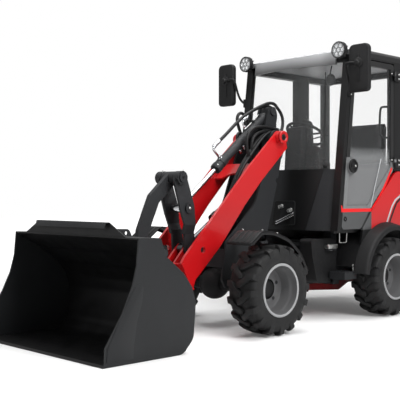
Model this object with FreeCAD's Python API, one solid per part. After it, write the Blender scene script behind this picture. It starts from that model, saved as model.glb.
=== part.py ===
import FreeCAD, Part
import math
import os
from FreeCAD import Vector

# Articulated wheel loader, in millimetres.  +X is forward, +Y left, +Z up.
# The origin is on the ground at the middle of the whole machine, bucket included.

# Chassis
front_axle_x = 310
rear_axle_x = -1260
pivot_x = -475            # vertical articulation pin, midway between the axles
rear_end_x = -2020

# Wheels
tyre_r = 350
tyre_w = 272
tyre_y = 594              # centre plane of each tyre
rim_seat_r = 190.5        # 15 inch bead seat
rim_flange_r = 206
rim_wall = 8
dish_depth = 150          # from the rim's outer edge in to its disc
disc_t = 12
stub_r = 40               # wheel bearing on the axle's stub
hub_r = 75
bore_gap = 0.05           # radial clearance of every turning pin
seat_gap = 0.3            # between curved faces that seat on each other

# Tower and boom
boom_x, boom_z = -242, 1565        # boom pivot
arm_y, arm_t = 225, 25             # outer face of each arm, and its plate
tower_y, tower_t = 195, 20         # outer face of each tower plate, and its plate
boom_pin_r = 32
boss_r = 55
pin_y = 270                        # outer end of the boom pins
hub_x, hub_z = 658, 650            # common pin of lever and lift cylinder
nose_y, nose_t = 55, 20            # outer face of each nose plate
hitch_x, hitch_z = 1050, 290       # lower hitch pin at the boom's tip
pin_r = 24

# Lever, link and cylinders
lever_top_x, lever_top_z = 790, 1210
lever_mid_x, lever_mid_z = 700, 972
lever_low_y, lever_top_y, lever_t = 80, 105, 20
link_x, link_z = 1108, 680         # upper hitch pin, the link's lower end
link_w, link_t = 100, 40
tilt_x, tilt_z = -340, 1800        # tilt cylinder's anchor on the tower
lift_x, lift_z = -200, 1230        # lift cylinder's anchor in the tower
barrel_r, rod_r = 38, 19
lift_barrel_r, lift_rod_r = 42, 22
tilt_barrel_l, lift_barrel_l = 745, 640
tilt_rod_from = 530                # rod's inner end from the anchor, with the bucket on the ground
tilt_piston, lift_piston = 450, 100     # pistons from the anchors
piston_l, gland_l = 60, 20
eye_r, eye_w = 46, 60
tilt_eye_r, lift_eye_r = 37, 40
anchor_y, anchor_t = 62, 20        # tower-top plates beside the tilt cylinder

# Bucket
bucket_w = 1490
bucket_t = 10
side_t = 12
lip_x = 2020
bucket_h = 797
guard_h = 94

# Cab
cab_y = 600                        # outer face of the door and pillars
cab_z = 770                        # underside of the floor
roof_z = 2380
top_z = roof_z - 95                # top of the cab's frame, under the roof
cab_rear_x = -1915
sill_z = 1300                      # bottom of the windscreen
pillar_w = 75                      # pillars across the machine
cab_front_x = -475                 # cab's nose at floor height
nose_sag = 100                     # how far the corners lie behind the nose
front_rake = 0.1167                # cab's front leans back by this much per unit of height
glass_t = 8
door_t = 32
door_gap = 6
hinge_x = -1385
wall_t = 15


def at_y(y):
    return lambda u, v: Vector(u, y, v)


def at_z(z):
    return lambda u, v: Vector(u, v, z)


def at_x(x):
    return lambda u, v: Vector(x, u, v)


def outline(points, place):
    """A closed face through points (u, v) or (u, v, corner radius)."""
    pts = [(p[0], p[1], p[2] if len(p) > 2 else 0) for p in points]
    ends = []
    for i, (u, v, r) in enumerate(pts):
        a, b = pts[i - 1], pts[(i + 1) % len(pts)]
        here = Vector(u, v, 0)
        to_a = (Vector(a[0], a[1], 0) - here).normalize()
        to_b = (Vector(b[0], b[1], 0) - here).normalize()
        if r <= 0:
            ends.append((here, here, here))
            continue
        half = to_a.getAngle(to_b) / 2
        back = r / math.tan(half)
        middle = here + (to_a + to_b).normalize() * (r / math.sin(half) - r)
        ends.append((here + to_a * back, middle, here + to_b * back))
    edges = []
    for i, (start, middle, end) in enumerate(ends):
        if start.distanceToPoint(end) > 1e-6:
            arc = Part.Arc(place(start.x, start.y), place(middle.x, middle.y), place(end.x, end.y))
            edges.append(arc.toShape())
        follow = ends[(i + 1) % len(ends)][0]
        if end.distanceToPoint(follow) > 1e-6:
            edges.append(Part.makeLine(place(end.x, end.y), place(follow.x, follow.y)))
    return Part.Face(Part.Wire(edges))


def plate(points, y0, y1):
    """A plate that stands along the machine, between two distances from its middle."""
    return outline(points, at_y(y0)).extrude(Vector(0, y1 - y0, 0))


def slab(points, z0, z1):
    return outline(points, at_z(z0)).extrude(Vector(0, 0, z1 - z0))


def wall(points, x0, x1):
    """A plate that stands across the machine; points are (y, z)."""
    return outline(points, at_x(x0)).extrude(Vector(x1 - x0, 0, 0))


def box(x0, x1, y0, y1, z0, z1):
    low = Vector(min(x0, x1), min(y0, y1), min(z0, z1))
    return Part.makeBox(abs(x1 - x0), abs(y1 - y0), abs(z1 - z0), low)


def sheet(points, t):
    """Corner points of a folded sheet: its line, then the same line offset by t to its left."""
    side = []
    for i, p in enumerate(points):
        a = points[max(i - 1, 0)]
        b = points[min(i + 1, len(points) - 1)]
        here = Vector(p[0], p[1], 0)
        ahead = Vector(b[0], b[1], 0) - here if i < len(points) - 1 else here - Vector(a[0], a[1], 0)
        behind = here - Vector(a[0], a[1], 0) if i > 0 else ahead
        n1 = Vector(-behind.y, behind.x, 0).normalize()
        n2 = Vector(-ahead.y, ahead.x, 0).normalize()
        mid = (n1 + n2).normalize()
        out = here + mid * (t / mid.dot(n1))
        turn = behind.cross(ahead).z
        r = p[2] if len(p) > 2 else 0
        side.append(((p[0], p[1], r), (out.x, out.y, max(r - t, 1) if turn > 0 and r else (r + t if r else 0))))
    return [a for a, b in side] + [b for a, b in reversed(side)]


def round_bar(p, q, r):
    p, q = Vector(*p), Vector(*q)
    return Part.makeCylinder(r, p.distanceToPoint(q), p, q - p)


def pin(x, z, r, y0, y1):
    return round_bar((x, y0, z), (x, y1, z), r)


def cut(body, *tools):
    for tool in tools:
        body = body.cut(tool)
    return body


def fuse(first, *rest):
    return first.multiFuse(list(rest)).removeSplitter()


def mirrored(shape):
    return shape.mirror(Vector(0, 0, 0), Vector(0, 1, 0))


def pair(shape):
    return [shape, mirrored(shape)]


def save(node, *solids):
    flat = []
    for s in solids:
        flat += s.Solids
    shape = flat[0] if len(flat) == 1 else Part.makeCompound(flat)
    shape.exportStep("parts/" + node + ".step")


def turned(profile, x, z):
    """Revolve points (radius, y) about the axle line at x, z."""
    face = outline([(p[0], p[1]) + tuple(p[2:]) for p in profile], lambda r, y: Vector(x + r, y, z))
    return face.revolve(Vector(x, 0, z), Vector(0, 1, 0), 360)


def along(p, q, s):
    """The point at distance s from p towards q, both (x, z)."""
    d = math.hypot(q[0] - p[0], q[1] - p[1])
    return (p[0] + (q[0] - p[0]) * s / d, p[1] + (q[1] - p[1]) * s / d)


def strap(p, q, rp, rq, y0, y1):
    """A bar with round ends about two pins, wider or narrower at each."""
    d = math.hypot(q[0] - p[0], q[1] - p[1])
    ux, uz = (q[0] - p[0]) / d, (q[1] - p[1]) / d
    lean = (rp - rq) / d
    side = math.sqrt(1 - lean * lean)
    corners = []
    for sign in (1, -1):
        nx, nz = ux * lean - sign * uz * side, uz * lean + sign * ux * side
        corners.append(((p[0] + nx * rp, p[1] + nz * rp), (q[0] + nx * rq, q[1] + nz * rq)))
    points = [corners[0][0], corners[0][1], corners[1][1], corners[1][0]]
    return fuse(plate(points, y0, y1), pin(p[0], p[1], rp, y0, y1), pin(q[0], q[1], rq, y0, y1))


# Heights and places that follow from the sizes above
axle_z = tyre_r
tyre_in, tyre_out = tyre_y - tyre_w / 2, tyre_y + tyre_w / 2
disc_y = tyre_out - 4 - dish_depth          # outer face of the rim's disc
pillar_y = cab_y - pillar_w                 # inner face of the pillars


def rake(z):
    """How far the cab's front lies further back at height z than at its floor."""
    return front_rake * (z - cab_z)


# Wheels --------------------------------------------------------------------

def tyre(x, side):
    h = tyre_w / 2
    bead = rim_seat_r + seat_gap
    half = [(bead, -h + 18), (bead + 32, -h + 12, 14), (bead + 70, -h, 40), (tyre_r - 44, -h + 4, 14),
            (tyre_r - 6, -h + 22, 12), (tyre_r, -h / 2)]
    ring = half + [(r, -y) + tuple(k) for r, y, *k in reversed(half)]
    inner = [(bead, h - 36), (bead + 60, h - 26, 30), (tyre_r - 48, h - 40, 20)]
    ring += inner + [(r, -y) + tuple(k) for r, y, *k in reversed(inner)]
    return turned([(r, side * (tyre_y + y)) + tuple(k) for r, y, *k in ring], x, axle_z)


def rim(x, side):
    h = tyre_w / 2 - 4
    seat, flange, t = rim_seat_r, rim_flange_r, rim_wall
    disc = disc_y - tyre_y
    outer = [(flange, -h), (flange, -h + 6), (seat, -h + 12), (seat, -h + 42), (seat - 14, -h + 56),
             (seat - 14, h - 62), (seat, h - 46), (seat, h - 12), (flange, h - 6), (flange, h)]
    inner = [(seat - t + 2, h), (seat - t, h - 40), (seat - 14 - t, h - 58), (seat - 14 - t, disc),
             (hub_r, disc), (hub_r, disc + 16), (stub_r + bore_gap, disc + 16),
             (stub_r + bore_gap, disc - disc_t - 6), (hub_r, disc - disc_t - 6), (hub_r, disc - disc_t),
             (seat - 14 - t, disc - disc_t), (seat - 14 - t, -h + 60), (seat - t, -h + 40), (seat - t + 2, -h)]
    return turned([(r, side * (tyre_y + y)) for r, y in outer + inner], x, axle_z)


def axle(x):
    """Axle beam: differential in the middle, wheel-end housings, and the stubs that the wheels turn on."""
    face_y = disc_y - disc_t - 6 - 5
    beam = pin(x, axle_z, 52, -face_y, face_y)
    ends = [pin(x, axle_z, 98, s * (face_y - 95), s * face_y) for s in (1, -1)]
    cones = [Part.makeCone(52, 98, 50, Vector(x, s * (face_y - 145), axle_z), Vector(0, s, 0)) for s in (1, -1)]
    stubs = [pin(x, axle_z, stub_r, s * face_y, s * (disc_y + 16)) for s in (1, -1)]
    case = Part.makeSphere(128, Vector(x, 0, axle_z))
    case = case.common(pin(x, axle_z, 140, -105, 105))
    return fuse(beam, case, *ends, *cones, *stubs)


# Front frame ---------------------------------------------------------------

tower_back = [(boom_x - 76, boom_z - 100), (boom_x - 11, 1204), (boom_x + 117, 782), (boom_x + 117, 600)]
lug_top, lug_low, lug_t = 610, 300, 30      # articulation lugs of the front frame


def tower_plate():
    """One side plate: boom pivot on top, axle seat below, sloping front edge."""
    x, z = boom_x, boom_z
    low = axle_z - 20
    points = [(x - 55, z + 75, 60), (x + 62, z + 55, 60), (x + 75, z - 60, 80), (x + 270, z - 560, 200),
              (front_axle_x + 60, 700, 60), (front_axle_x + 110, low + 70, 30), (front_axle_x + 70, low, 20),
              (-300, low - 80, 20), (-300, 600, 20), tower_back[3], tower_back[2], tower_back[1],
              tower_back[0], (x - 90, z, 40)]
    side = plate(points, tower_y - tower_t, tower_y)
    side = cut(side, pin(x, z, boom_pin_r + bore_gap, 0, 400), pin(front_axle_x, axle_z, 52 + seat_gap, 0, 400))
    return cut(side, pin(boom_x - 8, boom_z - 365, 22, 0, 400), pin(0, 640, 60, 0, 400))


def front_frame():
    inner = tower_y - tower_t
    back = plate(sheet(tower_back, 12), -inner, inner)
    top = box(boom_x - 78, boom_x - 62, -inner, inner, boom_z - 105, boom_z + 60)
    lugs = []
    for z in (lug_top, lug_low):
        lug = slab([(pivot_x + 55, -62, 50), (pivot_x - 55, -62, 50), (pivot_x - 55, 62, 50), (pivot_x + 55, 62, 50),
                    (boom_x + 130, inner, 0), (boom_x + 130, -inner, 0)], z - lug_t / 2, z + lug_t / 2)
        lugs.append(cut(lug, round_bar((pivot_x, 0, z - 50), (pivot_x, 0, z + 50), pin_r + bore_gap)))
    web = box(-230, -210, -inner, inner, lug_low, lug_top)
    belly = box(-210, front_axle_x - 140, -inner, inner, lug_low - 25, lug_low - 10)
    belly = fuse(belly, box(-230, -210, -inner, inner, lug_low - 25, lug_low + 10))
    nose = box(front_axle_x + 55, front_axle_x + 70, -inner, inner, axle_z + 140, axle_z + 290)
    ears = []
    for side in (1, -1):
        a, b = side * (anchor_y - anchor_t), side * anchor_y
        ear = plate([(tilt_x - 48, tilt_z + 44, 40), (tilt_x + 48, tilt_z + 44, 40), (boom_x + 20, boom_z + 40, 30),
                     (boom_x - 30, boom_z - 70), (boom_x - 62, boom_z - 105), (boom_x - 78, boom_z - 105),
                     (boom_x - 78, boom_z + 60), (tilt_x - 48, boom_z + 90, 20)], min(a, b), max(a, b))
        ears.append(cut(ear, pin(tilt_x, tilt_z, pin_r + bore_gap, -200, 200)))
    carriers = []
    for side in (1, -1):
        a, b = side * (lift_barrel_r + 8), side * inner
        carrier = plate([(lift_x - 50, lift_z - 55, 20), (lift_x + 40, lift_z - 55, 30), (lift_x + 45, lift_z + 50, 30),
                         (lift_x - 40, lift_z + 50, 30)], min(a, a + side * 20), max(a, a + side * 20))
        carriers.append(cut(carrier, pin(lift_x, lift_z, pin_r + bore_gap, -200, 200)))
    sides = [s for s in pair(tower_plate())]
    frame = fuse(sides[0], sides[1], back, top, *lugs, web, belly, nose, *ears, *carriers)
    return frame


def front_pins():
    """Boom pins with their heads, and the anchor pins of both cylinders."""
    boom_pin = fuse(pin(boom_x, boom_z, boom_pin_r, tower_y - tower_t - 15, pin_y),
                    pin(boom_x, boom_z, boss_r - 8, pin_y - 12, pin_y))
    lift = pin(lift_x, lift_z, pin_r, -lift_barrel_r - 42, lift_barrel_r + 42)
    return pair(boom_pin) + [lift]


def tilt_pin():
    """The tilt cylinder's anchor pin, held by a head at each end."""
    end = anchor_y + 14
    return fuse(pin(tilt_x, tilt_z, pin_r, -end, end), pin(tilt_x, tilt_z, 32, anchor_y + 1, end),
                pin(tilt_x, tilt_z, 32, -end, -anchor_y - 1))


fender_in, fender_out, fender_t = 452, 702, 8
fender_line = [(626, 700), (622, 722), (505, 807, 40), (358, 797, 90), (183, 735, 90), (46, 625, 90), (-42, 478)]


def fender(side):
    skin = plate(sheet(fender_line, fender_t), fender_in, fender_out)
    x = front_axle_x - 60
    bracket = fuse(box(x, x + 60, tower_y, fender_in + 60, 715, 732), box(x, x + 60, fender_in + 10, fender_in + 60, 716, 850))
    above = plate([(p[0], p[1]) for p in fender_line[1:]] + [(-42, 900), (622, 900)], 0, 900)
    whole = fuse(skin, cut(bracket, above))
    return whole if side > 0 else mirrored(whole)


# Boom ------------------------------------------------------------------------

arm_top = [(18, 54), (367, -251), (714, -593), (1089, -956, 30)]
arm_low = [(1126, -1008), (1005, -1209), (984, -1144, 60), (714, -900, 500), (426, -570), (220, -364), (-99, -86)]
nose_hole_r = 25


def arm():
    points = [(boom_x + p[0], boom_z + p[1]) + tuple(p[2:]) for p in arm_top + arm_low]
    points.append((boom_x - 78, boom_z + 22, 70))
    side = plate(points, arm_y - arm_t, arm_y)
    side = fuse(side, pin(boom_x, boom_z, boss_r, arm_y - arm_t, pin_y - 14))
    return cut(side, pin(boom_x, boom_z, boom_pin_r + bore_gap, 0, 400), pin(hub_x, hub_z, nose_hole_r, 0, 400))


def nose():
    """One of the two plates that carry the hub pin and reach forward to the lower hitch pin."""
    points = [(hub_x - 62, hub_z + 4, 36), (hub_x - 10, hub_z + 62, 42), (hub_x + 75, hub_z - 24, 60),
              (hub_x + 190, hub_z - 150, 60), (hitch_x - 40, hitch_z + 105, 90), (hitch_x + 50, hitch_z + 55, 48),
              (hitch_x + 50, hitch_z - 48, 48), (hitch_x - 60, hitch_z - 55, 60), (hub_x + 90, hub_z - 300, 60),
              (hub_x - 30, hub_z - 120, 60)]
    side = plate(points, nose_y - nose_t, nose_y)
    return cut(side, pin(hub_x, hub_z, pin_r + bore_gap, 0, 400), pin(hitch_x, hitch_z, pin_r + bore_gap, 0, 400))


def boom():
    front = plate([(hub_x + 205, hub_z - 93), (hub_x + 226, hub_z - 100), (hub_x + 122, hub_z - 306),
                   (hub_x + 100, hub_z - 296)], -arm_y - 6, arm_y + 6)
    front = cut(front, box(hub_x, hub_x + 400, -lever_top_y - 12, lever_top_y + 12, hub_z - 175, hub_z))
    inside = arm_y - arm_t
    cross = plate([(boom_x + 200, boom_z - 235), (boom_x + 210, boom_z - 222), (boom_x + 348, boom_z - 345),
                   (boom_x + 338, boom_z - 357)], -inside, inside)
    cross = cut(cross, Part.makeCylinder(150, 200, Vector(boom_x + 345, 0, boom_z - 480), Vector(0.663, 0, 0.748)))
    webs = []
    for side in (1, -1):
        a, b = side * (nose_y - 1), side * (inside + 1)
        webs.append(plate([(hub_x + 60, hub_z - 190, 8), (hub_x + 115, hub_z - 230), (hub_x + 105, hub_z - 250),
                           (hub_x + 40, hub_z - 215, 8)], min(a, b), max(a, b)))
    return fuse(arm(), mirrored(arm()), nose(), mirrored(nose()), front, cross, *webs)


# Lever, link, pins and cylinders ----------------------------------------------

def lever_side():
    """One plate of the lever: a foot at the hub, a step outwards, and a wide head."""
    foot = strap((hub_x, hub_z), (hub_x + 14, hub_z + 150), 58, 50, lever_low_y - lever_t, lever_low_y)
    foot = cut(foot, box(hub_x - 200, hub_x + 200, 0, 200, hub_z + 150, hub_z + 300))
    step = wall([(lever_low_y - lever_t, hub_z + 120), (lever_low_y, hub_z + 120), (lever_top_y, hub_z + 190),
                 (lever_top_y, hub_z + 230), (lever_top_y - lever_t, hub_z + 230),
                 (lever_top_y - lever_t, hub_z + 200), (lever_low_y - lever_t, hub_z + 140)], hub_x - 34, hub_x + 78)
    body = plate([(hub_x - 34, hub_z + 190), (lever_mid_x - 62, lever_mid_z + 20, 50),
                  (lever_top_x - 66, lever_top_z + 20, 60), (lever_top_x - 10, lever_top_z + 68, 60),
                  (lever_top_x + 66, lever_top_z - 10, 60), (lever_mid_x + 66, lever_mid_z - 60, 60),
                  (hub_x + 78, hub_z + 190)], lever_top_y - lever_t, lever_top_y)
    head = pin(lever_top_x, lever_top_z, 52, lever_top_y - lever_t - 14, lever_top_y + 30)
    stub = pin(lever_mid_x, lever_mid_z, pin_r, eye_w / 2 + 5, lever_top_y - lever_t)
    cap = pin(lever_mid_x, lever_mid_z, 40, lever_top_y, lever_top_y + 16)
    whole = fuse(foot, step, body, head, stub, cap)
    return cut(whole, pin(hub_x, hub_z, pin_r + bore_gap, 0, 400),
               pin(lever_top_x, lever_top_z, pin_r + bore_gap, 0, 400))


def lever_pin():
    return fuse(pin(hub_x, hub_z, pin_r, eye_w / 2 + 4, lever_low_y + 10), pin(hub_x, hub_z, 36, lever_low_y + 1, lever_low_y + 12))


def link_pin():
    end = lever_top_y + 30
    return fuse(pin(lever_top_x, lever_top_z, pin_r, -end - 8, end + 8),
                pin(lever_top_x, lever_top_z, 36, end + 1, end + 12), pin(lever_top_x, lever_top_z, 36, -end - 12, -end - 1))


def link():
    """Cranked flat bar from the lever's head to the upper hitch pin."""
    knee = (975, 1045)
    low = (1085, 800)
    h = link_t / 2
    bar = fuse(strap((lever_top_x, lever_top_z), knee, link_w / 2, link_w / 2, -h, h),
               strap(knee, low, link_w / 2, link_w / 2, -h, h),
               strap(low, (link_x, link_z), link_w / 2, eye_r, -h, h))
    collar = pin(lever_top_x, lever_top_z, 50, -lever_top_y + lever_t + 18, lever_top_y - lever_t - 18)
    return cut(fuse(bar, collar), pin(lever_top_x, lever_top_z, pin_r + bore_gap, -200, 200))


def cylinder_barrel(p, q, r, length, eye, rod):
    """A barrel hung on its anchor at p that points at q: eye, tube with its bore, and a gland that guides the rod."""
    bore = r - 7
    tail = along(p, q, 62)
    end = along(p, q, length)
    rim_at = along(p, q, length - 60)
    y = lambda pt: (pt[0], 0, pt[1])
    tube = round_bar(y(tail), y(end), r)
    gland = round_bar(y(rim_at), y(end), r + 6)
    neck = round_bar(y(p), y(tail), r - 10)
    knuckle = pin(p[0], p[1], eye, -eye_w / 2, eye_w / 2)
    body = fuse(tube, gland, neck, knuckle)
    hollow = round_bar(y(along(p, q, 90)), y(along(p, q, length - gland_l)), bore)
    mouth = round_bar(y(along(p, q, 90)), y(along(p, q, length + 5)), rod + seat_gap)
    return cut(body, hollow, mouth, pin(p[0], p[1], pin_r + bore_gap, -200, 200)), bore


def piston(p, q, at, length, bore, hole):
    """The ring that slides in the barrel hung at p and pointing at q."""
    ring = round_bar(*[(x, 0, z) for x, z in (along(p, q, at), along(p, q, at + length))], bore - seat_gap)
    if not hole:
        return ring
    return cut(ring, round_bar(*[(x, 0, z) for x, z in (along(p, q, at - 5), along(p, q, at + length + 5))], hole))


def cylinder_rod(p, q, r, start_at, eye):
    """A rod whose eye sits at q, with its inner end at a distance from p in the barrel that hangs there."""
    reach = math.hypot(q[0] - p[0], q[1] - p[1])
    y = lambda pt: (pt[0], 0, pt[1])
    rod = round_bar(y(along(p, q, start_at)), y(along(p, q, reach - 10)), r)
    knuckle = pin(q[0], q[1], eye, -eye_w / 2, eye_w / 2)
    seat = round_bar(y(along(p, q, reach - eye - 14)), y(along(p, q, reach - 20)), r + 6)
    return fuse(rod, knuckle, seat)


# Hitch and bucket ---------------------------------------------------------------

hook_x, hook_z = 1195, 655        # upper cross tube, under the bucket's hooks
foot_x, foot_z = 1150, 205        # lower cross tube
tube_r = 30
hitch_y, hitch_t = 330, 20        # outer face of each end plate
ear_y, ear_t = 82, 20             # outer face of the ears that take the pins
lock_x, lock_z = 1195, 150


def hitch():
    ears = []
    for side in (1, -1):
        a, b = side * (ear_y - ear_t), side * ear_y
        ear = plate([(hitch_x - 44, hitch_z + 20, 40), (hitch_x + 10, hitch_z + 90, 60), (link_x - 52, link_z - 60, 60),
                     (link_x - 46, link_z + 46, 40), (hook_x + 10, link_z + 46, 40), (hook_x + 24, hook_z - 40, 30),
                     (foot_x + 40, foot_z + 80, 60), (foot_x + 32, foot_z - 34, 30), (hitch_x + 30, foot_z - 10, 40),
                     (hitch_x - 44, hitch_z - 48, 40)], min(a, b), max(a, b))
        stub = pin(link_x, link_z, pin_r, *sorted((side * (link_t / 2 + 5), side * (ear_y + 12))))
        ears.append(fuse(cut(ear, pin(hitch_x, hitch_z, pin_r + bore_gap, -400, 400)), stub))
    ends = []
    for side in (1, -1):
        a, b = side * (hitch_y - hitch_t), side * hitch_y
        ends.append(plate([(foot_x - 40, foot_z + 40, 30), (hook_x - 44, hook_z - 10, 40), (hook_x - 44, hook_z + 44, 40),
                           (hook_x + 40, hook_z + 44, 40), (hook_x + 40, hook_z - 60, 30), (lock_x + 20, lock_z + 120, 30),
                           (lock_x + 28, lock_z - 30, 30), (foot_x - 40, lock_z - 30, 30)], min(a, b), max(a, b)))
    tubes = [pin(x, z, tube_r, *sorted((s * (ear_y - 5), s * (hitch_y + more)))) for s in (1, -1)
             for x, z, more in ((hook_x, hook_z, 60), (foot_x, foot_z, 0))]
    back = box(foot_x + 45, foot_x + 57, -hitch_y, hitch_y, foot_z + 95, foot_z + 275)
    locks = [pin(lock_x, lock_z, 18, *sorted((s * (hitch_y - 60), s * (hitch_y + 50)))) for s in (1, -1)]
    return fuse(ears[0], ears[1], *ends, *tubes, back, *locks)


def hitch_pin():
    return fuse(pin(hitch_x, hitch_z, pin_r, -ear_y - 10, ear_y + 10),
                pin(hitch_x, hitch_z, 34, ear_y + 1, ear_y + 12), pin(hitch_x, hitch_z, 34, -ear_y - 12, -ear_y - 1))


shell_line = [(2003, 0), (1345, 0, 95), (1250, 96, 90), (1228, 345, 100), (1262, 450, 90), (1340, 548, 200),
              (1500, 672), (1729, bucket_h)]
mouth_line = [(1542, bucket_h - 6), (1729, bucket_h), (1746, 619), (1781, 491), (1864, 320), (2000, 121), (2003, 26)]


def bucket():
    half = bucket_w / 2
    shell = plate(sheet([(p[0], p[1]) + tuple(p[2:]) for p in reversed(shell_line)], bucket_t), -half + side_t, half - side_t)
    sides = [plate(shell_line[:-1] + mouth_line, *sorted((s * (half - side_t), s * half))) for s in (1, -1)]
    beam = plate([shell_line[-2], mouth_line[0], mouth_line[1]], -half + side_t, half - side_t)
    lip = plate([(lip_x - 190, 0), (lip_x, 0), (lip_x - 16, 16), (lip_x - 190, 16)], -half, half)
    guard = wall([(-610, bucket_h - 4), (610, bucket_h - 4), (420, bucket_h + guard_h), (-420, bucket_h + guard_h)], 1717, 1725)
    fold = box(1717, 1748, -420, 420, bucket_h + guard_h - 8, bucket_h + guard_h)
    hooks = []
    for y in (hitch_y + 6, -hitch_y - 26):
        hook = plate([(1344, 543), (1262, 470), (hook_x + 52, hook_z - 60, 20), (hook_x + 44, hook_z), (hook_x - 54, hook_z, 6),
                      (hook_x - 54, hook_z + 56, 40), (hook_x + 60, hook_z + 62, 40), (1500, 672)],
                     y, y + 20)
        hook = cut(hook, pin(hook_x, hook_z, tube_r + seat_gap, -800, 800))
        foot = plate([(1285, 64), (lock_x - 40, 90, 30), (lock_x - 40, lock_z + 40, 30), (1242, 255), (1259, 101)], y, y + 20)
        foot = cut(foot, pin(lock_x, lock_z, 18 + bore_gap, -800, 800))
        hooks += [hook, foot]
    return fuse(shell, sides[0], sides[1], beam, lip, guard, fold, *hooks)


# Rear frame and its housings ------------------------------------------------------

rail_y, rail_t = 235, 20          # outer face of each chassis rail
fork_gap = 4
wall_x = pivot_x - 125            # cross wall behind the fork
rail_z = 640


def rear_frame():
    rail = plate([(wall_x, rail_z), (wall_x, 240, 20), (rear_axle_x + 200, 170 + 40, 60), (rear_axle_x + 60, axle_z - 80, 60),
                  (rear_axle_x - 90, axle_z - 80, 60), (-1880, 330, 30), (-1880, rail_z, 30)], rail_y - rail_t, rail_y)
    rail = cut(rail, pin(rear_axle_x, axle_z, 52 + seat_gap, 0, 400))
    cross = box(wall_x - 15, wall_x, -rail_y, rail_y, 240, rail_z + 40)
    tail = box(-1880, -1862, -rail_y, rail_y, 330, rail_z)
    belly = plate([(wall_x, 240), (rear_axle_x + 200, 210), (rear_axle_x + 200, 222), (wall_x, 252)],
                  -rail_y + rail_t, rail_y - rail_t)
    plates = []
    for z in (lug_top, lug_low):
        for low in (z + lug_t / 2 + fork_gap, z - lug_t / 2 - fork_gap - 25):
            plates.append(slab([(pivot_x + 50, -60, 48), (pivot_x + 50, 60, 48), (pivot_x - 20, 75, 30), (wall_x, 190),
                                (wall_x, -190), (pivot_x - 20, -75, 30)], low, low + 25))
    stand = lug_t / 2 + fork_gap + 40
    pins = [round_bar((pivot_x, 0, z - stand), (pivot_x, 0, z + stand), pin_r) for z in (lug_top, lug_low)]
    mounts = [box(x - 50, x + 50, *sorted((s * (rail_y - 1), s * 330)), rail_z - 40, rail_z) for s in (1, -1) for x in (-860, -1720)]
    feet = [box(x - 40, x + 40, *sorted((s * 250, s * 325)), rail_z, z) for s in (1, -1)
            for x, z in ((-860, cab_z), (-1720, deck_z - wall_t))]
    return fuse(rail, mirrored(rail), cross, tail, belly, *plates, *pins, *mounts, *feet, *lid_hinges())


def engine_block():
    inner = rail_y - rail_t
    return box(-1855, -1420, -inner, inner, rail_z - 60, 1000)


def counterweight():
    body = slab([(-1880, -470), (-1880, 470), (rear_end_x, 470, 110), (rear_end_x, -470, 110)], 320, 620)
    return cut(body, pin(rear_end_x - 20, 300, 90, -600, 600))


arch_r = 475                      # outer radius of the rear fender
fender_edge_y = 720
cover_out, cover_t = 610, 24
cover_line = [(-905, 790), (-1052, 952), (-1400, 1276), (-1445, 1292)]


def side_cover():
    face = [(-880, 640)] + cover_line + [(-1880, 1300, 60), (-1925, 1200, 100), (-1935, 630)]
    skin = plate(face, cover_out - cover_t, cover_out)
    return cut(skin, pin(rear_axle_x, axle_z, arch_r + seat_gap, 0, 900))


def arc_sheet(x, z, r_in, r_out, a0, a1, y0, y1):
    """Part of a ring about an axle, between two angles from the front."""
    at = lambda r, a: Vector(x + r * math.cos(math.radians(a)), y0, z + r * math.sin(math.radians(a)))
    mid = (a0 + a1) / 2
    edges = [Part.Arc(at(r_out, a0), at(r_out, mid), at(r_out, a1)).toShape(), Part.makeLine(at(r_out, a1), at(r_in, a1)),
             Part.Arc(at(r_in, a1), at(r_in, mid), at(r_in, a0)).toShape(), Part.makeLine(at(r_in, a0), at(r_out, a0))]
    return Part.Face(Part.Wire(edges)).extrude(Vector(0, y1 - y0, 0))


def rear_fender():
    skin = arc_sheet(rear_axle_x, axle_z, arch_r - 10, arch_r, 6, 160, cab_y + 6, fender_edge_y)
    top = arc_sheet(rear_axle_x, axle_z, arch_r - 10, arch_r, 13, 160, fender_in - 60, cab_y + 7)
    lip = arc_sheet(rear_axle_x, axle_z, arch_r - 45, arch_r, 6, 160, fender_edge_y - 14, fender_edge_y)
    inner = arc_sheet(rear_axle_x, axle_z, arch_r - 60, arch_r, 13, 160, fender_in - 70, fender_in - 60)
    return fuse(skin, top, lip, inner)


def side_tank():
    body = plate([(-425, 700, 30), (-440, 560, 60), (-508, 318, 50), (-745, 318, 60), (-774, 420, 60), (-774, 700, 30)], 292, 420)
    ledge = box(-740, -600, rail_y, 292, 600, 615)
    return fuse(body, ledge)


def step():
    tread = box(-655, -826, 438, 600, 352, 413)
    tread = cut(tread, box(-667, -814, 450, 588, 364, 500))
    bars = [box(-667, -814, y, y + 10, 385, 413) for y in (480, 520, 560)]
    arm_bar = box(-780, -700, rail_y, 445, 300, 314)
    riser = box(-780, -700, 432, 446, 300, 370)
    return fuse(tread, arm_bar, riser, *bars)


# Cab ---------------------------------------------------------------------------

door_top = top_z - 23
pillar_lean, door_lean = 0.118919, 0.1135135           # front and rear edge of the front pillar
pillar_top = top_z - 35
front_line = [(-552, cab_z), (-552 - pillar_lean * (pillar_top - cab_z), pillar_top)]
door_line = [(-603, cab_z), (-603 - door_lean * (pillar_top - cab_z), pillar_top)]
header_x = front_line[1][0]                            # top front corner of the cab


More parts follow.
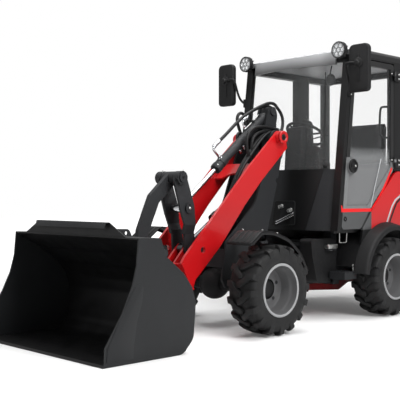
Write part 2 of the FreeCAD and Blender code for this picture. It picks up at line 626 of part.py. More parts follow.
def nose_skin(z0, z1, out, t, half):
    """The curved front of the cab between two heights, leaning back; out is how far it stands proud."""
    shift = Vector(-rake(z0) + out, 0, 0)
    drop = nose_sag * (half / pillar_y) ** 2
    outer = Part.Arc(Vector(cab_front_x - drop, -half, z0), Vector(cab_front_x, 0, z0), Vector(cab_front_x - drop, half, z0))
    inner = Part.Arc(Vector(cab_front_x - drop - t, half, z0), Vector(cab_front_x - t, 0, z0),
                     Vector(cab_front_x - drop - t, -half, z0))
    a, b, c, d = outer.StartPoint, outer.EndPoint, inner.StartPoint, inner.EndPoint
    face = Part.Face(Part.Wire([outer.toShape(), Part.makeLine(b, c), inner.toShape(), Part.makeLine(d, a)]))
    skin = face.extrude(Vector(-front_rake * (z1 - z0), 0, z1 - z0))
    skin.translate(shift)
    return skin


def cab_frame():
    p = pillar_y
    front = plate([front_line[0], door_line[0], door_line[1], front_line[1]], p, cab_y)
    post = box(-1400, -1570, p, cab_y, 1302, top_z - 25)
    rear = box(cab_rear_x, cab_rear_x + 65, p, cab_y, 1302, top_z - 25)
    top = box(cab_rear_x, header_x, p, cab_y, top_z - 55, top_z)
    nose = [(header_x + 228, top_z - 185), (header_x + 17, top_z - 185), (header_x - 7, top_z + 15), (header_x + 228, top_z + 15)]
    top = cut(top, plate(nose, 0, 800))
    door_room = box(-1395, door_line[1][0], cab_y - door_t - 6, 700, top_z - 85, top_z - 15)
    belt = box(cab_rear_x, -1570, p, cab_y, 1302, 1345)
    sill = plate(sheet([(-556, cab_z + 25), (-885, cab_z + 25, 60), (-1035, cab_z + 205, 120), (-1390, 1330, 80), (-1560, 1335)], 45),
                 p, cab_y - door_t - 8)
    knuckles = []
    for z in hinge_z:
        barrel = round_bar((hinge_x, hinge_y, z - 42), (hinge_x, hinge_y, z - 2), 13)
        rod = round_bar((hinge_x, hinge_y, z - 42), (hinge_x, hinge_y, z + 42), 6)
        knuckles += [barrel, rod, box(hinge_x - 60, -1402, cab_y - 1, cab_y + 12, z - 40, z - 4),
                     box(-1403, hinge_x, cab_y + 5, cab_y + 12, z - 40, z - 4)]
    left = fuse(cut(fuse(front, post, rear, top, belt, sill), door_room), *knuckles)
    right = mirrored(fuse(front, post, rear, top, belt, sill))
    header = nose_skin(top_z - 59, top_z, 0, 45, p)
    back_top = box(cab_rear_x, cab_rear_x + 50, -p, p, top_z - 55, top_z)
    back_low = box(cab_rear_x, cab_rear_x + 50, -p, p, 1302, 1345)
    return fuse(left, right, header, back_top, back_low)


hinge_z = (1372, top_z - 131)
hinge_y = cab_y + 20


def door_face(inset):
    """The door's outline: straight front, arched lower rear corner over the fender."""
    g = door_gap
    slope = (door_line[1][0] - door_line[0][0]) / (door_line[1][1] - door_line[0][1])
    low = cab_z + 12
    front_low = door_line[0][0] - g + slope * (low - cab_z)
    front_high = door_line[0][0] - g + slope * (door_top - cab_z)
    points = [(front_low, low, 30), (-885, low, 30), (-1035, low + 180, 120), (-1375, 1290, 60), (-1394, 1330, 30),
              (-1394, door_top, 30), (front_high, door_top, 30)]
    face = outline(points, at_y(cab_y - door_t))
    return face if inset == 0 else face.makeOffset2D(-inset)


def door():
    whole = door_face(0).extrude(Vector(0, door_t, 0))
    window = door_face(48)
    window.translate(Vector(0, -10, 0))
    window = window.extrude(Vector(0, door_t + 20, 0)).common(box(-2000, 0, 0, 900, 985, top_z + 115))
    frame = cut(whole, window)
    latch = pin(-736, 1325, 58, cab_y - door_t, cab_y + 24)
    plate_x = door_line[0][0] - 0.1135 * (1325 - cab_z)
    frame = fuse(frame, box(plate_x - 130, plate_x - 12, cab_y - door_t, cab_y, 1262, 1388), latch)
    for z in hinge_z:
        barrel = round_bar((hinge_x, hinge_y, z + 2), (hinge_x, hinge_y, z + 42), 13)
        frame = fuse(frame, barrel, box(hinge_x, hinge_x + 60, cab_y - 1, cab_y + 10, z + 4, z + 40))
        frame = cut(frame, round_bar((hinge_x, hinge_y, z), (hinge_x, hinge_y, z + 50), 6 + bore_gap))
    return frame


def door_glass():
    window = door_face(48.3)
    pane = window.extrude(Vector(0, 6, 0)).common(box(-2000, 0, 0, 900, 985.3, top_z + 115))
    pane.translate(Vector(0, 12, 0))
    plate_x = door_line[0][0] - 0.1135 * (1325 - cab_z)
    return cut(pane, box(plate_x - 130.3, plate_x, 0, 900, 1261.7, 1388.3), pin(-736, 1325, 58.3, 0, 900))


def glazing():
    p = pillar_y - seat_gap
    low, high = 1345 + seat_gap, top_z - 55 - seat_gap
    screen = nose_skin(sill_z + seat_gap, top_z - 59 - seat_gap, -2, glass_t, p)
    rear = box(cab_rear_x + 20, cab_rear_x + 28, -p, p, low, high)
    quarter = box(cab_rear_x + 65 + seat_gap, -1570 - seat_gap, cab_y - 30, cab_y - 24, low, high)
    y = -(cab_y - door_t - 8) - seat_gap
    right = outline([(-604.5, cab_z + 10), (-889, cab_z + 10), (-1045, 968), (-1400 + seat_gap, 1322), (-1400 + seat_gap, high),
                     (door_line[1][0] + 2, high)], at_y(y))
    right = right.extrude(Vector(0, -6, 0))
    return [screen, rear] + pair(quarter) + [right]


def front_panels():
    skin = nose_skin(cab_z, sill_z, 0, wall_t, pillar_y)
    middle = wall([(-288, cab_z - 9), (288, cab_z - 9), (422, sill_z + 9), (-422, sill_z + 9)], -1000, 0)
    return cut(skin, middle).Solids


def cab_floor():
    skin = nose_skin(cab_z, sill_z, 0, wall_t, pillar_y)
    middle = wall([(-285, cab_z - 9), (285, cab_z - 9), (419, sill_z + 9), (-419, sill_z + 9)], -1000, 0)
    front = skin.common(middle)
    p = pillar_y - seat_gap
    floor = slab([(-600, -p), (-600, p), (riser_x, p), (riser_x, -p)], cab_z, cab_z + wall_t)
    toe = nose_skin(cab_z, cab_z + wall_t, -wall_t + 1, 120, 284)
    rear = cab_rear_x + 18
    riser = box(riser_x - wall_t, riser_x, -p, p, cab_z, deck_z)
    deck = box(rear, riser_x, -p, p, deck_z - wall_t, deck_z)
    sides = [box(rear, -1400, *sorted((s * p, s * (p - wall_t))), deck_z - 1, 1300) for s in (1, -1)]
    sill = nose_skin(sill_z - 12, sill_z, -wall_t + 1, 90, 400)
    back = box(rear, rear + wall_t, -p, p, deck_z - 1, 1300)
    return fuse(front, toe, floor, riser, deck, back, sill, *sides)


deck_z = 1050
riser_x = -1020                    # front of the deck, ahead of the rear fenders


def roof():
    r, f = cab_rear_x - 30, header_x
    plan = slab([(f + 73, -300, 300), (f + 73, 300, 300), (f - 12, cab_y - 8, 60), (r, cab_y - 8, 90), (r, -cab_y + 8, 90),
                 (f - 12, -cab_y + 8, 60)], top_z - 50, roof_z + 10)
    side = plate([(f + 108, top_z), (f + 88, top_z + 20, 30), (f - 152, roof_z - 18, 500), (-1145, roof_z, 1200), (-1500, roof_z, 1500),
                  (r + 40, roof_z - 30, 120), (r - 10, top_z)], -800, 800)
    across = wall([(-cab_y, top_z), (cab_y, top_z), (cab_y - 10, roof_z - 20, 60), (0, roof_z + 4, 3000), (-cab_y + 10, roof_z - 20, 60)],
                  -2100, -500)
    top = plan.common(side).common(across)
    visor = nose_skin(top_z - 80, top_z + 15, 32, 22, 470)
    return fuse(top, visor)


def seat():
    """Cushion and backrest in one outline, with a narrower foot on the deck."""
    body = plate([(-1300, 1150, 30), (-1290, 1270, 50), (-1640, 1250, 30), (-1700, 1790, 40), (-1800, 1800, 40), (-1790, 1150, 60)],
                 -250, 250)
    foot = box(-1690, -1380, -180, 180, deck_z + seat_gap, 1200)
    return fuse(body, foot)


def console():
    arm_rest = plate([(-1180, 1160, 40), (-1190, 1290, 60), (-1620, 1300, 40), (-1640, deck_z + 0.3), (-1230, deck_z + 0.3)], -455, -300)
    stick = round_bar((-1270, -380, 1260), (-1250, -380, 1400), 16)
    knob = Part.makeSphere(32, Vector(-1248, -380, 1415))
    return fuse(arm_rest, stick, knob)


def steering():
    """Column, dash pod and steering wheel, one fixed piece."""
    floor = cab_z + wall_t + 0.3
    column = plate([(-700, floor), (-665, 1270, 60), (-700, 1560, 60), (-770, 1600, 40), (-830, 1500, 80), (-800, floor)], -90, 90)
    centre, axis = Vector(-875, 0, 1640), Vector(-0.5, 0, 0.866)
    shaft = Part.makeCylinder(22, 190, centre - axis * 175, axis)
    ring = Part.makeTorus(182, 14, centre, axis)
    hub = Part.makeCylinder(38, 30, centre - axis * 15, axis)
    spokes = []
    for turn in (90, 210, 330):
        spoke = round_bar((0, 0, 0), (182, 0, 0), 9)
        spoke.rotate(Vector(0, 0, 0), Vector(0, 0, 1), turn)
        spoke.rotate(Vector(0, 0, 0), Vector(0, 1, 0), -30)
        spoke.translate(centre)
        spokes.append(spoke)
    return fuse(column, shaft, ring, hub, *spokes)


mirror_y = 775


def mirror_arm():
    x, z = header_x + 13, top_z - 330                  # the clamp on the pillar
    front = x + 87
    head = slab([(front + 28, mirror_y - 100, 30), (front + 28, mirror_y + 100, 30), (front - 27, mirror_y + 95, 12),
                 (front - 27, mirror_y - 95, 12)], z - 20, z + 380)
    foot = box(x - 12, x + 12, cab_y + seat_gap, cab_y + 22, z - 30, z + 30)
    out = round_bar((x, cab_y + 10, z), (front, 690, z), 11)
    up = round_bar((front, 690, z), (front, mirror_y - 60, z + 85), 11)
    bend = Part.makeSphere(11.2, Vector(front, 690, z))
    return fuse(head, foot, out, up, bend)


lamp_y, lamp_z, lamp_r = 544, top_z + 31, 73


def work_lamp():
    back = header_x + 22
    body = fuse(round_bar((back + 34, lamp_y, lamp_z), (back + 70, lamp_y, lamp_z), lamp_r),
                Part.makeCone(40, lamp_r, 34, Vector(back, lamp_y, lamp_z), Vector(1, 0, 0)))
    foot = box(back - 24, back + 6, lamp_y - 12, lamp_y + 12, top_z - 23, top_z - 1)
    stem = box(back - 10, back + 6, lamp_y - 12, lamp_y + 12, top_z - 23, lamp_z)
    return fuse(body, foot, stem)


lid_y = 560


def hood():
    """Rear lid of the engine bay, hinged along its top edge."""
    front = hood_x - 26
    line = [(front, 1296), (-1996, 1284, 50), (-2012, 1120, 200), (rear_end_x, 860), (rear_end_x, 640)]
    skin = plate(sheet(line, 18), -lid_y, lid_y)
    cheek = plate([(front, 1294), (-1994, 1283, 50), (-2011, 1120, 200), (rear_end_x + 2, 860), (rear_end_x + 2, 640),
                   (front, 640)], lid_y - 18, lid_y)
    bar = [box(front - 14, hood_x, *sorted((s * 300, s * 340)), hood_z - 8, hood_z + 8) for s in (1, -1)]
    knuckle = [pin(hood_x, hood_z, 14, *sorted((s * 300, s * 340))) for s in (1, -1)]
    lid = fuse(skin, cheek, mirrored(cheek), *bar, *knuckle)
    return cut(lid, pin(hood_x, hood_z, 6 + bore_gap, -400, 400))


hood_x, hood_z = -1934, 1282


def lid_hinges():
    """Rear posts of the chassis, with the cross wall that carries the lid's two hinges."""
    top = deck_z - wall_t
    cover_in = cover_out - cover_t
    parts = [box(cab_rear_x, cab_rear_x + 16, -cover_in, cover_in, top - 60, hood_z + 14)]
    for s in (1, -1):
        parts.append(pin(hood_x, hood_z, 6, *sorted((s * 280, s * 360))))
        for y in (s * 280, s * 343):
            parts.append(box(hood_x - 8, cab_rear_x + 8, *sorted((y, y + s * 17)), hood_z - 10, hood_z + 10))
        parts.append(box(cab_rear_x, -1862, *sorted((s * (rail_y - rail_t + 1), s * rail_y)), rail_z - 18, top))
    return parts


def main():
    os.makedirs("parts", exist_ok=True)
    for node, x, side in (("fl", front_axle_x, 1), ("fr", front_axle_x, -1), ("rl", rear_axle_x, 1), ("rr", rear_axle_x, -1)):
        save("tyre_" + node, tyre(x, side))
        save("rim_" + node, rim(x, side))
    save("front_axle", axle(front_axle_x))
    save("rear_axle", axle(rear_axle_x))
    save("front_frame", front_frame())
    save("front_pins", *front_pins(), tilt_pin())
    fenders = [fender(side) for side in (1, -1)]
    save("front_fenders", *fenders)
    save("boom", boom())
    save("lever", *pair(lever_side()))
    save("boom_pins", *pair(lever_pin()), hitch_pin())
    save("link_pin", link_pin())
    save("link", link())
    save("hitch", hitch())
    save("bucket", bucket())
    anchor, rod_end = (tilt_x, tilt_z), (lever_mid_x, lever_mid_z)
    barrel, bore = cylinder_barrel(anchor, rod_end, barrel_r, tilt_barrel_l, eye_r, rod_r)
    save("tilt_barrel", barrel)
    save("tilt_piston", piston(anchor, rod_end, tilt_piston, 100, bore, rod_r + seat_gap))
    save("tilt_rod", cylinder_rod(anchor, rod_end, rod_r, tilt_rod_from, tilt_eye_r))
    anchor, rod_end = (lift_x, lift_z), (hub_x, hub_z)
    barrel, bore = cylinder_barrel(anchor, rod_end, lift_barrel_r, lift_barrel_l, lift_eye_r, lift_rod_r)
    save("lift_barrel", barrel)
    head = piston(anchor, rod_end, lift_piston, piston_l, bore, 0)
    save("lift_rod", fuse(cylinder_rod(anchor, rod_end, lift_rod_r, lift_piston, eye_r), head))
    save("rear_frame", rear_frame())
    save("engine_block", engine_block())
    save("counterweight", counterweight())
    save("side_covers", *pair(side_cover()))
    save("rear_fenders", *pair(rear_fender()))
    save("side_tanks", *pair(side_tank()))
    save("steps", *pair(step()))
    save("cab_frame", cab_frame())
    save("cab_floor", cab_floor())
    save("front_panels", *front_panels())
    save("roof", roof())
    save("glazing", *glazing())
    save("door", door())
    save("door_glass", door_glass())
    save("seat", seat())
    save("console", console())
    save("steering_column", steering())
    save("mirrors", *pair(mirror_arm()))
    save("work_lamps", *pair(work_lamp()))
    save("hood", hood())


main()
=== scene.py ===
# %% [markdown]
# # Articulated wheel loader
# The imported machine comes in as a fixed frame: every steel part already has its
# true size and place, in metres, with +X forward, +Y to the left and +Z up.
# The lesson adds what a workshop adds last: rubber, paint, glass, hoses and trim.
# The size of the bare machine is kept.

# %% Load the frame
import math

import bpy
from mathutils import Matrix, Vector
from mathutils.bvhtree import BVHTree


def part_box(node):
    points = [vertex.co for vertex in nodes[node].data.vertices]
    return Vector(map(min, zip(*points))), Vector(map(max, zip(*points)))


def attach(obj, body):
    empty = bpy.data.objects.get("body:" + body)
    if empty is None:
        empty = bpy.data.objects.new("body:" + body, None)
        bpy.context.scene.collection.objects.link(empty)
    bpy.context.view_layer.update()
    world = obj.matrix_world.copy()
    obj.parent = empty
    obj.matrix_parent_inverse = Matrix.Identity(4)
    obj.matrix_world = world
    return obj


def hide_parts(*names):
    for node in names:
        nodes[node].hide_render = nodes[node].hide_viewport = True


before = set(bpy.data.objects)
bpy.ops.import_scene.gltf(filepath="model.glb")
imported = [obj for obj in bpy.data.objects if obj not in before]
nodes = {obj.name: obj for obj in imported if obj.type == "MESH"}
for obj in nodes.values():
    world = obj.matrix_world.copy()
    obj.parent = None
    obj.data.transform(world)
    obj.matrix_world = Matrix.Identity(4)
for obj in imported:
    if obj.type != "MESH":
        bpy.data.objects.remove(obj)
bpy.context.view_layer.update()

rear_axle = sum(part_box("tyre_rl"), Vector()) / 2

# %% [markdown]
# A working drawing is seen through a long lens, so the camera stands well back,
# ahead of the left front wheel and at the height of a kneeling person.

# %% Camera
camera_place = (5.127, 4.865, 1.069)
heading, tilt = 0.808, -0.005  # radians, about +Z and up from level
sensor, lens, far_limit = 36, 74.84, 100  # millimetres, millimetres and metres
bpy.ops.object.camera_add(location=camera_place)
camera = bpy.context.object
look_along = Vector((-math.cos(heading) * math.cos(tilt), -math.sin(heading) * math.cos(tilt),
                     math.sin(tilt)))
camera.rotation_euler = look_along.to_track_quat("-Z", "Y").to_euler()
camera.data.sensor_width, camera.data.lens, camera.data.clip_end = sensor, lens, far_limit
bpy.context.scene.camera = camera
bpy.context.scene.view_settings.view_transform = "Standard"
print("lens", camera.data.lens, "mm")

# %% [markdown]
# Every finish is a small graph of nodes. Two helpers keep the graphs readable:
# `Value` lets a socket stand in ordinary sums, and `Finish` makes one material
# and adds a node to it in a single line.

# %% Helpers for finishes
class Value:
    """A socket that can be added, multiplied and compared like a number."""

    def __init__(self, finish, socket):
        self.finish, self.socket = finish, socket

    def math(self, operation, *others):
        sockets = dict(enumerate([self, *others]))
        return self.finish.node("ShaderNodeMath", {"operation": operation}, sockets)

    def __add__(self, other):
        return self.math("ADD", other)

    def __sub__(self, other):
        return self.math("SUBTRACT", other)

    def __rsub__(self, other):
        return (self * -1).math("ADD", other)

    def __mul__(self, other):
        return self.math("MULTIPLY", other)

    def above(self, other):
        return self.math("GREATER_THAN", other)

    def below(self, other):
        return self.math("LESS_THAN", other)

    def least(self, other):
        return self.math("MINIMUM", other)

    def most(self, other):
        return self.math("MAXIMUM", other)

    def size(self):
        return self.math("ABSOLUTE")

    __radd__, __rmul__ = __add__, __mul__


class Finish:
    """One material, with its surface shader and a method that adds any node."""

    def __init__(self, name, rough=0.5, metal=0.0, coat=0.0):
        self.made = bpy.data.materials.new(name)
        self.made.use_nodes = True
        self.tree = self.made.node_tree
        self.shader = self.tree.nodes["Principled BSDF"]
        self.set(Roughness=rough, Metallic=metal, Coat_Weight=coat, Coat_Roughness=0.08)

    def put(self, socket, value):
        if isinstance(value, Value):
            self.tree.links.new(value.socket, socket)
        elif isinstance(value, (tuple, list)) and len(value) == 3 and socket.type == "RGBA":
            socket.default_value = (*value, 1)
        else:
            socket.default_value = value

    def node(self, kind, settings=None, sockets=None, out=0):
        made = self.tree.nodes.new(kind)
        for name, value in (settings or {}).items():
            setattr(made, name, value)
        for name, value in (sockets or {}).items():
            self.put(made.inputs[name], value)
        return Value(self, made.outputs[out])

    def set(self, **sockets):
        for name, value in sockets.items():
            self.put(self.shader.inputs[name.replace("_", " ")], value)

    def place(self):
        return self.node("ShaderNodeTexCoord", out="Object")

    def axes(self):
        split = self.node("ShaderNodeSeparateXYZ", None, {0: self.place()}).socket.node
        return [Value(self, split.outputs[i]) for i in range(3)]

    def noise(self, scale, detail=3.0, rough=0.5):
        return self.node("ShaderNodeTexNoise", None,
                         {"Vector": self.place(), "Scale": scale, "Detail": detail, "Roughness": rough})

    def cells(self, scale):
        return self.node("ShaderNodeTexVoronoi", {"feature": "DISTANCE_TO_EDGE"},
                         {"Vector": self.place(), "Scale": scale})

    def mix(self, amount, first, second):
        return self.node("ShaderNodeMix", {"data_type": "RGBA"}, {0: amount, 6: first, 7: second}, out=2)

    def steps(self, value, low, high, to_low=0.0, to_high=1.0):
        return self.node("ShaderNodeMapRange", {"clamp": True},
                         {0: value, 1: low, 2: high, 3: to_low, 4: to_high})

    def gloss(self, scale, low, high, detail=4):
        """Roughness that wanders between two values with a noise."""
        self.set(Roughness=self.steps(self.noise(scale, detail), 0.3, 0.7, low, high))

    def bump(self, height, strength, distance):
        settings = {"Height": height, "Strength": strength, "Distance": distance}
        self.set(Normal=self.node("ShaderNodeBump", None, settings))
        return self

    def on(self, *pieces):
        for piece in pieces:
            piece.data.materials.clear()
            piece.data.materials.append(self.made)


def srgb(r, g, b):
    """A colour picked on screen, from 0 to 255, as the linear values that shaders use."""
    return tuple(((c / 255 + 0.055) / 1.055) ** 2.4 if c > 10 else c / 255 / 12.92 for c in (r, g, b))


print("helpers ready")

# %% [markdown]
# Paint on a machine is never one flat colour: the film is a little thicker here and
# thinner there, and sprayed paint keeps a faint orange peel. Slow noise moves the
# colour and the gloss, and fine noise gives the peel.

# %% Painted steel
def paint(name, colour, rough, coat=0.0, drift=0.06, peel=0.08, grain=260):
    made = Finish(name, coat=coat)
    slow = made.noise(2.3, 4)
    dark = tuple(c * (1 - drift * 2) for c in colour)
    light = tuple(min(1, c * (1 + drift * 2)) for c in colour)
    made.set(Base_Color=made.mix(slow, dark, light))
    made.gloss(7, rough * 0.88, rough * 1.12)
    return made.bump(made.noise(grain, 2), peel, 0.0006)


red = paint("loader_red", srgb(190, 12, 18), 0.34, coat=0.35, drift=0.03)
anthracite = paint("chassis_anthracite", srgb(36, 37, 39), 0.50)
bucket_grey = paint("bucket_grey", srgb(34, 35, 37), 0.46, drift=0.10, peel=0.14, grain=190)
linkage_grey = paint("linkage_grey", srgb(42, 43, 45), 0.45, drift=0.08, peel=0.12, grain=210)
cab_black = paint("cab_black", srgb(16, 16, 17), 0.40, coat=0.15)
roof_silver = paint("roof_silver", srgb(196, 197, 199), 0.38)
rim_silver = paint("rim_silver", srgb(148, 149, 150), 0.45)
# A darker grey for the inside of the rims is painted shade; the whole rim is one silver paint.
rim_painted_shade = paint("rim_painted_shade", srgb(92, 92, 93), 0.50)
print("painted finishes:", len(bpy.data.materials))

# %% [markdown]
# Bare metal comes in three kinds here: hard chrome, almost a mirror, on the tilt rod,
# a chrome made dark as painted shade on the lift rods, which stand in shadow, and plated
# steel, whose fine grain scatters the light a little. Cast iron is painted, but keeps the
# rough skin of its sand mould.

# %% Bare metal
def metal(name, colour, rough, grain=400, strength=0.05):
    made = Finish(name, metal=1.0)
    made.set(Base_Color=colour)
    made.gloss(grain / 8, rough * 0.7, rough * 1.3, 3)
    return made.bump(made.noise(grain, 2), strength, 0.0004)


chrome = metal("hard_chrome", (0.66, 0.67, 0.69), 0.12)
steel = metal("plated_steel", (0.55, 0.55, 0.54), 0.34, 300, 0.10)
# The lift rods stand in shadow, so their chrome gets a dark colour: painted shade.
rod_painted_shade = metal("rod_painted_shade", (0.10, 0.10, 0.105), 0.28)
cast_iron = paint("cast_iron", srgb(24, 24, 25), 0.62, peel=0.35, grain=150)
print("finishes with metals:", len(bpy.data.materials))

# %% [markdown]
# Moulded plastic carries a fine leather-like texture from its tool, rubber is duller
# and takes a trace of dust, and both want a soft highlight.

# %% Plastic and rubber
def moulded(name, colour, rough, scale=900, strength=0.25):
    made = Finish(name)
    slow = made.noise(4, 3)
    made.set(Base_Color=made.mix(slow, tuple(c * 0.85 for c in colour),
                                 tuple(min(1, c * 1.15) for c in colour)))
    cells = made.cells(scale)
    made.gloss(30, rough * 0.9, rough * 1.1, 3)
    return made.bump(cells.least(0.25), strength, 0.0005)


black_plastic = moulded("black_plastic", srgb(22, 22, 23), 0.55)
hose_rubber = moulded("hose_rubber", srgb(26, 26, 27), 0.42, 1400, 0.15)
seal_rubber = moulded("seal_rubber", srgb(20, 20, 21), 0.60, 1400, 0.10)

tyre_rubber = Finish("tyre_rubber")
dust = tyre_rubber.steps(tyre_rubber.noise(9, 5, 0.6), 0.35, 0.75, 0.0, 0.45)
tyre_rubber.set(Base_Color=tyre_rubber.mix(dust, srgb(25, 25, 26), srgb(42, 42, 41)))
tyre_rubber.gloss(24, 0.55, 0.72)
tyre_rubber.bump(tyre_rubber.noise(420, 3), 0.25, 0.0008)
dull_level = 0.24
for dull in (anthracite, bucket_grey, linkage_grey, cab_black, cast_iron,
             black_plastic, hose_rubber, seal_rubber, tyre_rubber):
    dull.set(Specular_IOR_Level=dull_level)
print("finishes with plastics and rubbers:", len(bpy.data.materials))

# %% [markdown]
# Cab glass is thin safety glass with a light grey tint. A smooth surface with a
# very low alpha lets what is behind it through, and still mirrors the surround.

# %% Glass
def glazed(name, tint, darkness):
    made = Finish(name, rough=0.02)
    made.set(Base_Color=tint, Alpha=darkness, IOR=1.5)
    return made


clear_glass = glazed("cab_glass", srgb(220, 224, 225), 0.035)
mirror_glass = Finish("mirror_glass", rough=0.03, metal=1.0)
mirror_glass.set(Base_Color=(0.75, 0.77, 0.78))
lamp_lens = glazed("lamp_lens", srgb(240, 242, 244), 0.18)
print("finishes with glasses:", len(bpy.data.materials))

# %% [markdown]
# Modelling helpers. Each one works as a person would in the viewport: add a
# primitive, go into edit mode, extrude or spin it, and leave with its place
# applied, so that the finished object sits at the origin.

# %% Helpers for modelling
def fresh():
    """Back to object mode with nothing selected."""
    if bpy.context.object and bpy.context.object.mode != "OBJECT":
        bpy.ops.object.mode_set(mode="OBJECT")
    bpy.ops.object.select_all(action="DESELECT")


def only(piece):
    """Select one piece and make it the active one."""
    fresh()
    piece.select_set(True)
    bpy.context.view_layer.objects.active = piece


def settle():
    """Put the active object's place, turn and scale into its mesh."""
    bpy.ops.object.transform_apply(location=True, rotation=True, scale=True)


def finished(name, finish=None, angle=None):
    """Name the active object, put its place into its mesh and give it a finish."""
    if bpy.context.object.mode != "OBJECT":
        bpy.ops.object.mode_set(mode="OBJECT")
    piece = bpy.context.object
    piece.select_set(True)
    piece.name = piece.data.name = name
    settle()
    if angle is not None:
        bpy.ops.object.shade_smooth_by_angle(angle=math.radians(angle))
    if finish:
        finish.on(piece)
    return piece


def outwards():
    """Merge doubles and turn every face outwards, in edit mode."""
    bpy.ops.mesh.select_all(action="SELECT")
    bpy.ops.mesh.remove_doubles(threshold=1e-5)
    bpy.ops.mesh.normals_make_consistent(inside=False)


def trace(points):
    """Draw a chain of edges by extruding one vertex from point to point; ends in edit mode."""
    points = [Vector(p) for p in points]
    fresh()
    bpy.ops.mesh.primitive_plane_add(size=0.01, location=points[0])
    bpy.ops.object.mode_set(mode="EDIT")
    bpy.ops.mesh.merge(type="CENTER")
    for here, there in zip(points, points[1:]):
        bpy.ops.mesh.extrude_region_move(TRANSFORM_OT_translate={"value": there - here})


def fill(points):
    """Draw a closed outline and fill it with one face; ends in edit mode."""
    trace(points)
    bpy.ops.mesh.select_all(action="SELECT")
    bpy.ops.mesh.edge_face_add()


def rounded(points, steps=5):
    """An outline whose corners (u, v, radius) become short arcs."""
    line = []
    for i, point in enumerate(points):
        here = Vector(point[:2])
        radius = point[2] if len(point) > 2 else 0
        if not radius:
            line.append(here)
            continue
        a = (Vector(points[i - 1][:2]) - here).normalized()
        b = (Vector(points[(i + 1) % len(points)][:2]) - here).normalized()
        half = a.angle(b) / 2
        centre = here + (a + b).normalized() * radius / math.sin(half)
        start = here + a * radius / math.tan(half) - centre
        end = here + b * radius / math.tan(half) - centre
        turn = start.angle_signed(end)
        for k in range(steps + 1):
            t = -turn * k / steps
            line.append(centre + Vector((start.x * math.cos(t) - start.y * math.sin(t),
                                         start.x * math.sin(t) + start.y * math.cos(t))))
    return line


def modifier(kind, **settings):
    """Add a modifier to the active object and apply it."""
    if bpy.context.object.mode != "OBJECT":
        bpy.ops.object.mode_set(mode="OBJECT")
    made = bpy.context.object.modifiers.new(kind.title(), kind)
    for name, value in settings.items():
        setattr(made, name, value)
    bpy.ops.object.modifier_apply(modifier=made.name)


def soften(width, segments=2, angle=35):
    modifier("BEVEL", width=width, segments=segments, limit_method="ANGLE", angle_limit=math.radians(angle))


def carve(piece, tool, operation):
    """Cut a piece with a tool, which is then thrown away."""
    only(piece)
    modifier("BOOLEAN", operation=operation, object=tool, solver="EXACT")
    bpy.data.objects.remove(tool)


def slab(name, points, thick, place, finish, bevel=0.002):
    """Fill an outline of (u, v[, radius]) points, extrude it by `thick` and soften its edges."""
    fill([place(p.x, p.y) for p in rounded(points)])
    bpy.ops.mesh.extrude_region_move(TRANSFORM_OT_translate={"value": thick})
    outwards()
    if bevel:
        soften(bevel)
    return finished(name, finish, 35)


def side_plate(name, points, y0, y1, finish, bevel=0.002):
    """A plate that stands along the machine; points are (x, z)."""
    return slab(name, points, (0, y1 - y0, 0), lambda x, z: Vector((x, y0, z)), finish, bevel)


def block(name, low, high, finish, bevel=0.002):
    """A rectangular piece between two corners."""
    fresh()
    low, high = Vector(low), Vector(high)
    bpy.ops.mesh.primitive_cube_add(size=1, location=(low + high) / 2)
    bpy.context.object.scale = high - low
    settle()
    if bevel:
        soften(bevel)
    return finished(name, finish, 35)


def lathe(name, profile, start, end, finish, steps=48, angle=35, closed=False):
    """Spin a profile of (distance, radius) about the line from start to end."""
    start, end = Vector(start), Vector(end)
    points = [(r, 0, s) for s, r in profile]
    trace(points + points[:1] if closed else points)
    bpy.ops.mesh.select_all(action="SELECT")
    bpy.ops.mesh.spin(steps=steps, angle=math.tau, center=(0, 0, 0), axis=(0, 0, 1))
    outwards()
    bpy.ops.object.mode_set(mode="OBJECT")
    settle()
    piece = bpy.context.object
    piece.rotation_euler = (end - start).to_track_quat("Z", "Y").to_euler()
    piece.location = start
    return finished(name, finish, angle)


def tube(name, points, radius, finish, order=3, sides=3):
    """A bent tube: a smooth curve along the points with a round section, made a mesh."""
    trace(points)
    bpy.ops.object.mode_set(mode="OBJECT")
    settle()
    bpy.ops.object.convert(target="CURVE")
    curve = bpy.context.object.data
    bpy.ops.object.mode_set(mode="EDIT")
    bpy.ops.curve.select_all(action="SELECT")
    bpy.ops.curve.spline_type_set(type="NURBS")
    bpy.ops.object.mode_set(mode="OBJECT")
    spline = curve.splines[0]
    spline.order_u, spline.use_endpoint_u, spline.resolution_u = order, True, 6
    curve.bevel_depth, curve.bevel_resolution, curve.use_fill_caps = radius, sides, True
    bpy.ops.object.convert(target="MESH")
    bpy.ops.object.mode_set(mode="EDIT")
    outwards()
    return finished(name, finish, 50)


def together(name, pieces):
    """Join finished pieces into one object; each keeps its own finish."""
    fresh()
    for piece in pieces:
        piece.select_set(True)
    bpy.context.view_layer.objects.active = pieces[0]
    if len(pieces) > 1:
        bpy.ops.object.join()
    return finished(name)


def copy_of(piece):
    """Duplicate a piece, with its own mesh; the copy is then the active one."""
    only(piece)
    bpy.ops.object.duplicate(linked=False)
    return bpy.context.object


def mirrored(piece, name):
    """A copy of a piece on the other side of the machine."""
    copy_of(piece).scale.y = -1
    settle()
    bpy.ops.object.mode_set(mode="EDIT")
    outwards()
    return finished(name)


def moved(piece, name, shift):
    """A copy of a piece at another place."""
    copy_of(piece).location = shift
    return finished(name)


print("modelling helpers ready")

# %% [markdown]
# The studio is a wide white floor and a white surround. The surround is white only
# where the camera, a mirror or a pane looks straight at it; for everything else it is
# a soft grey, so the background stays clean without washing out the paint. The floor
# glows far from the machine, where no shadow falls, and fades into the surround.

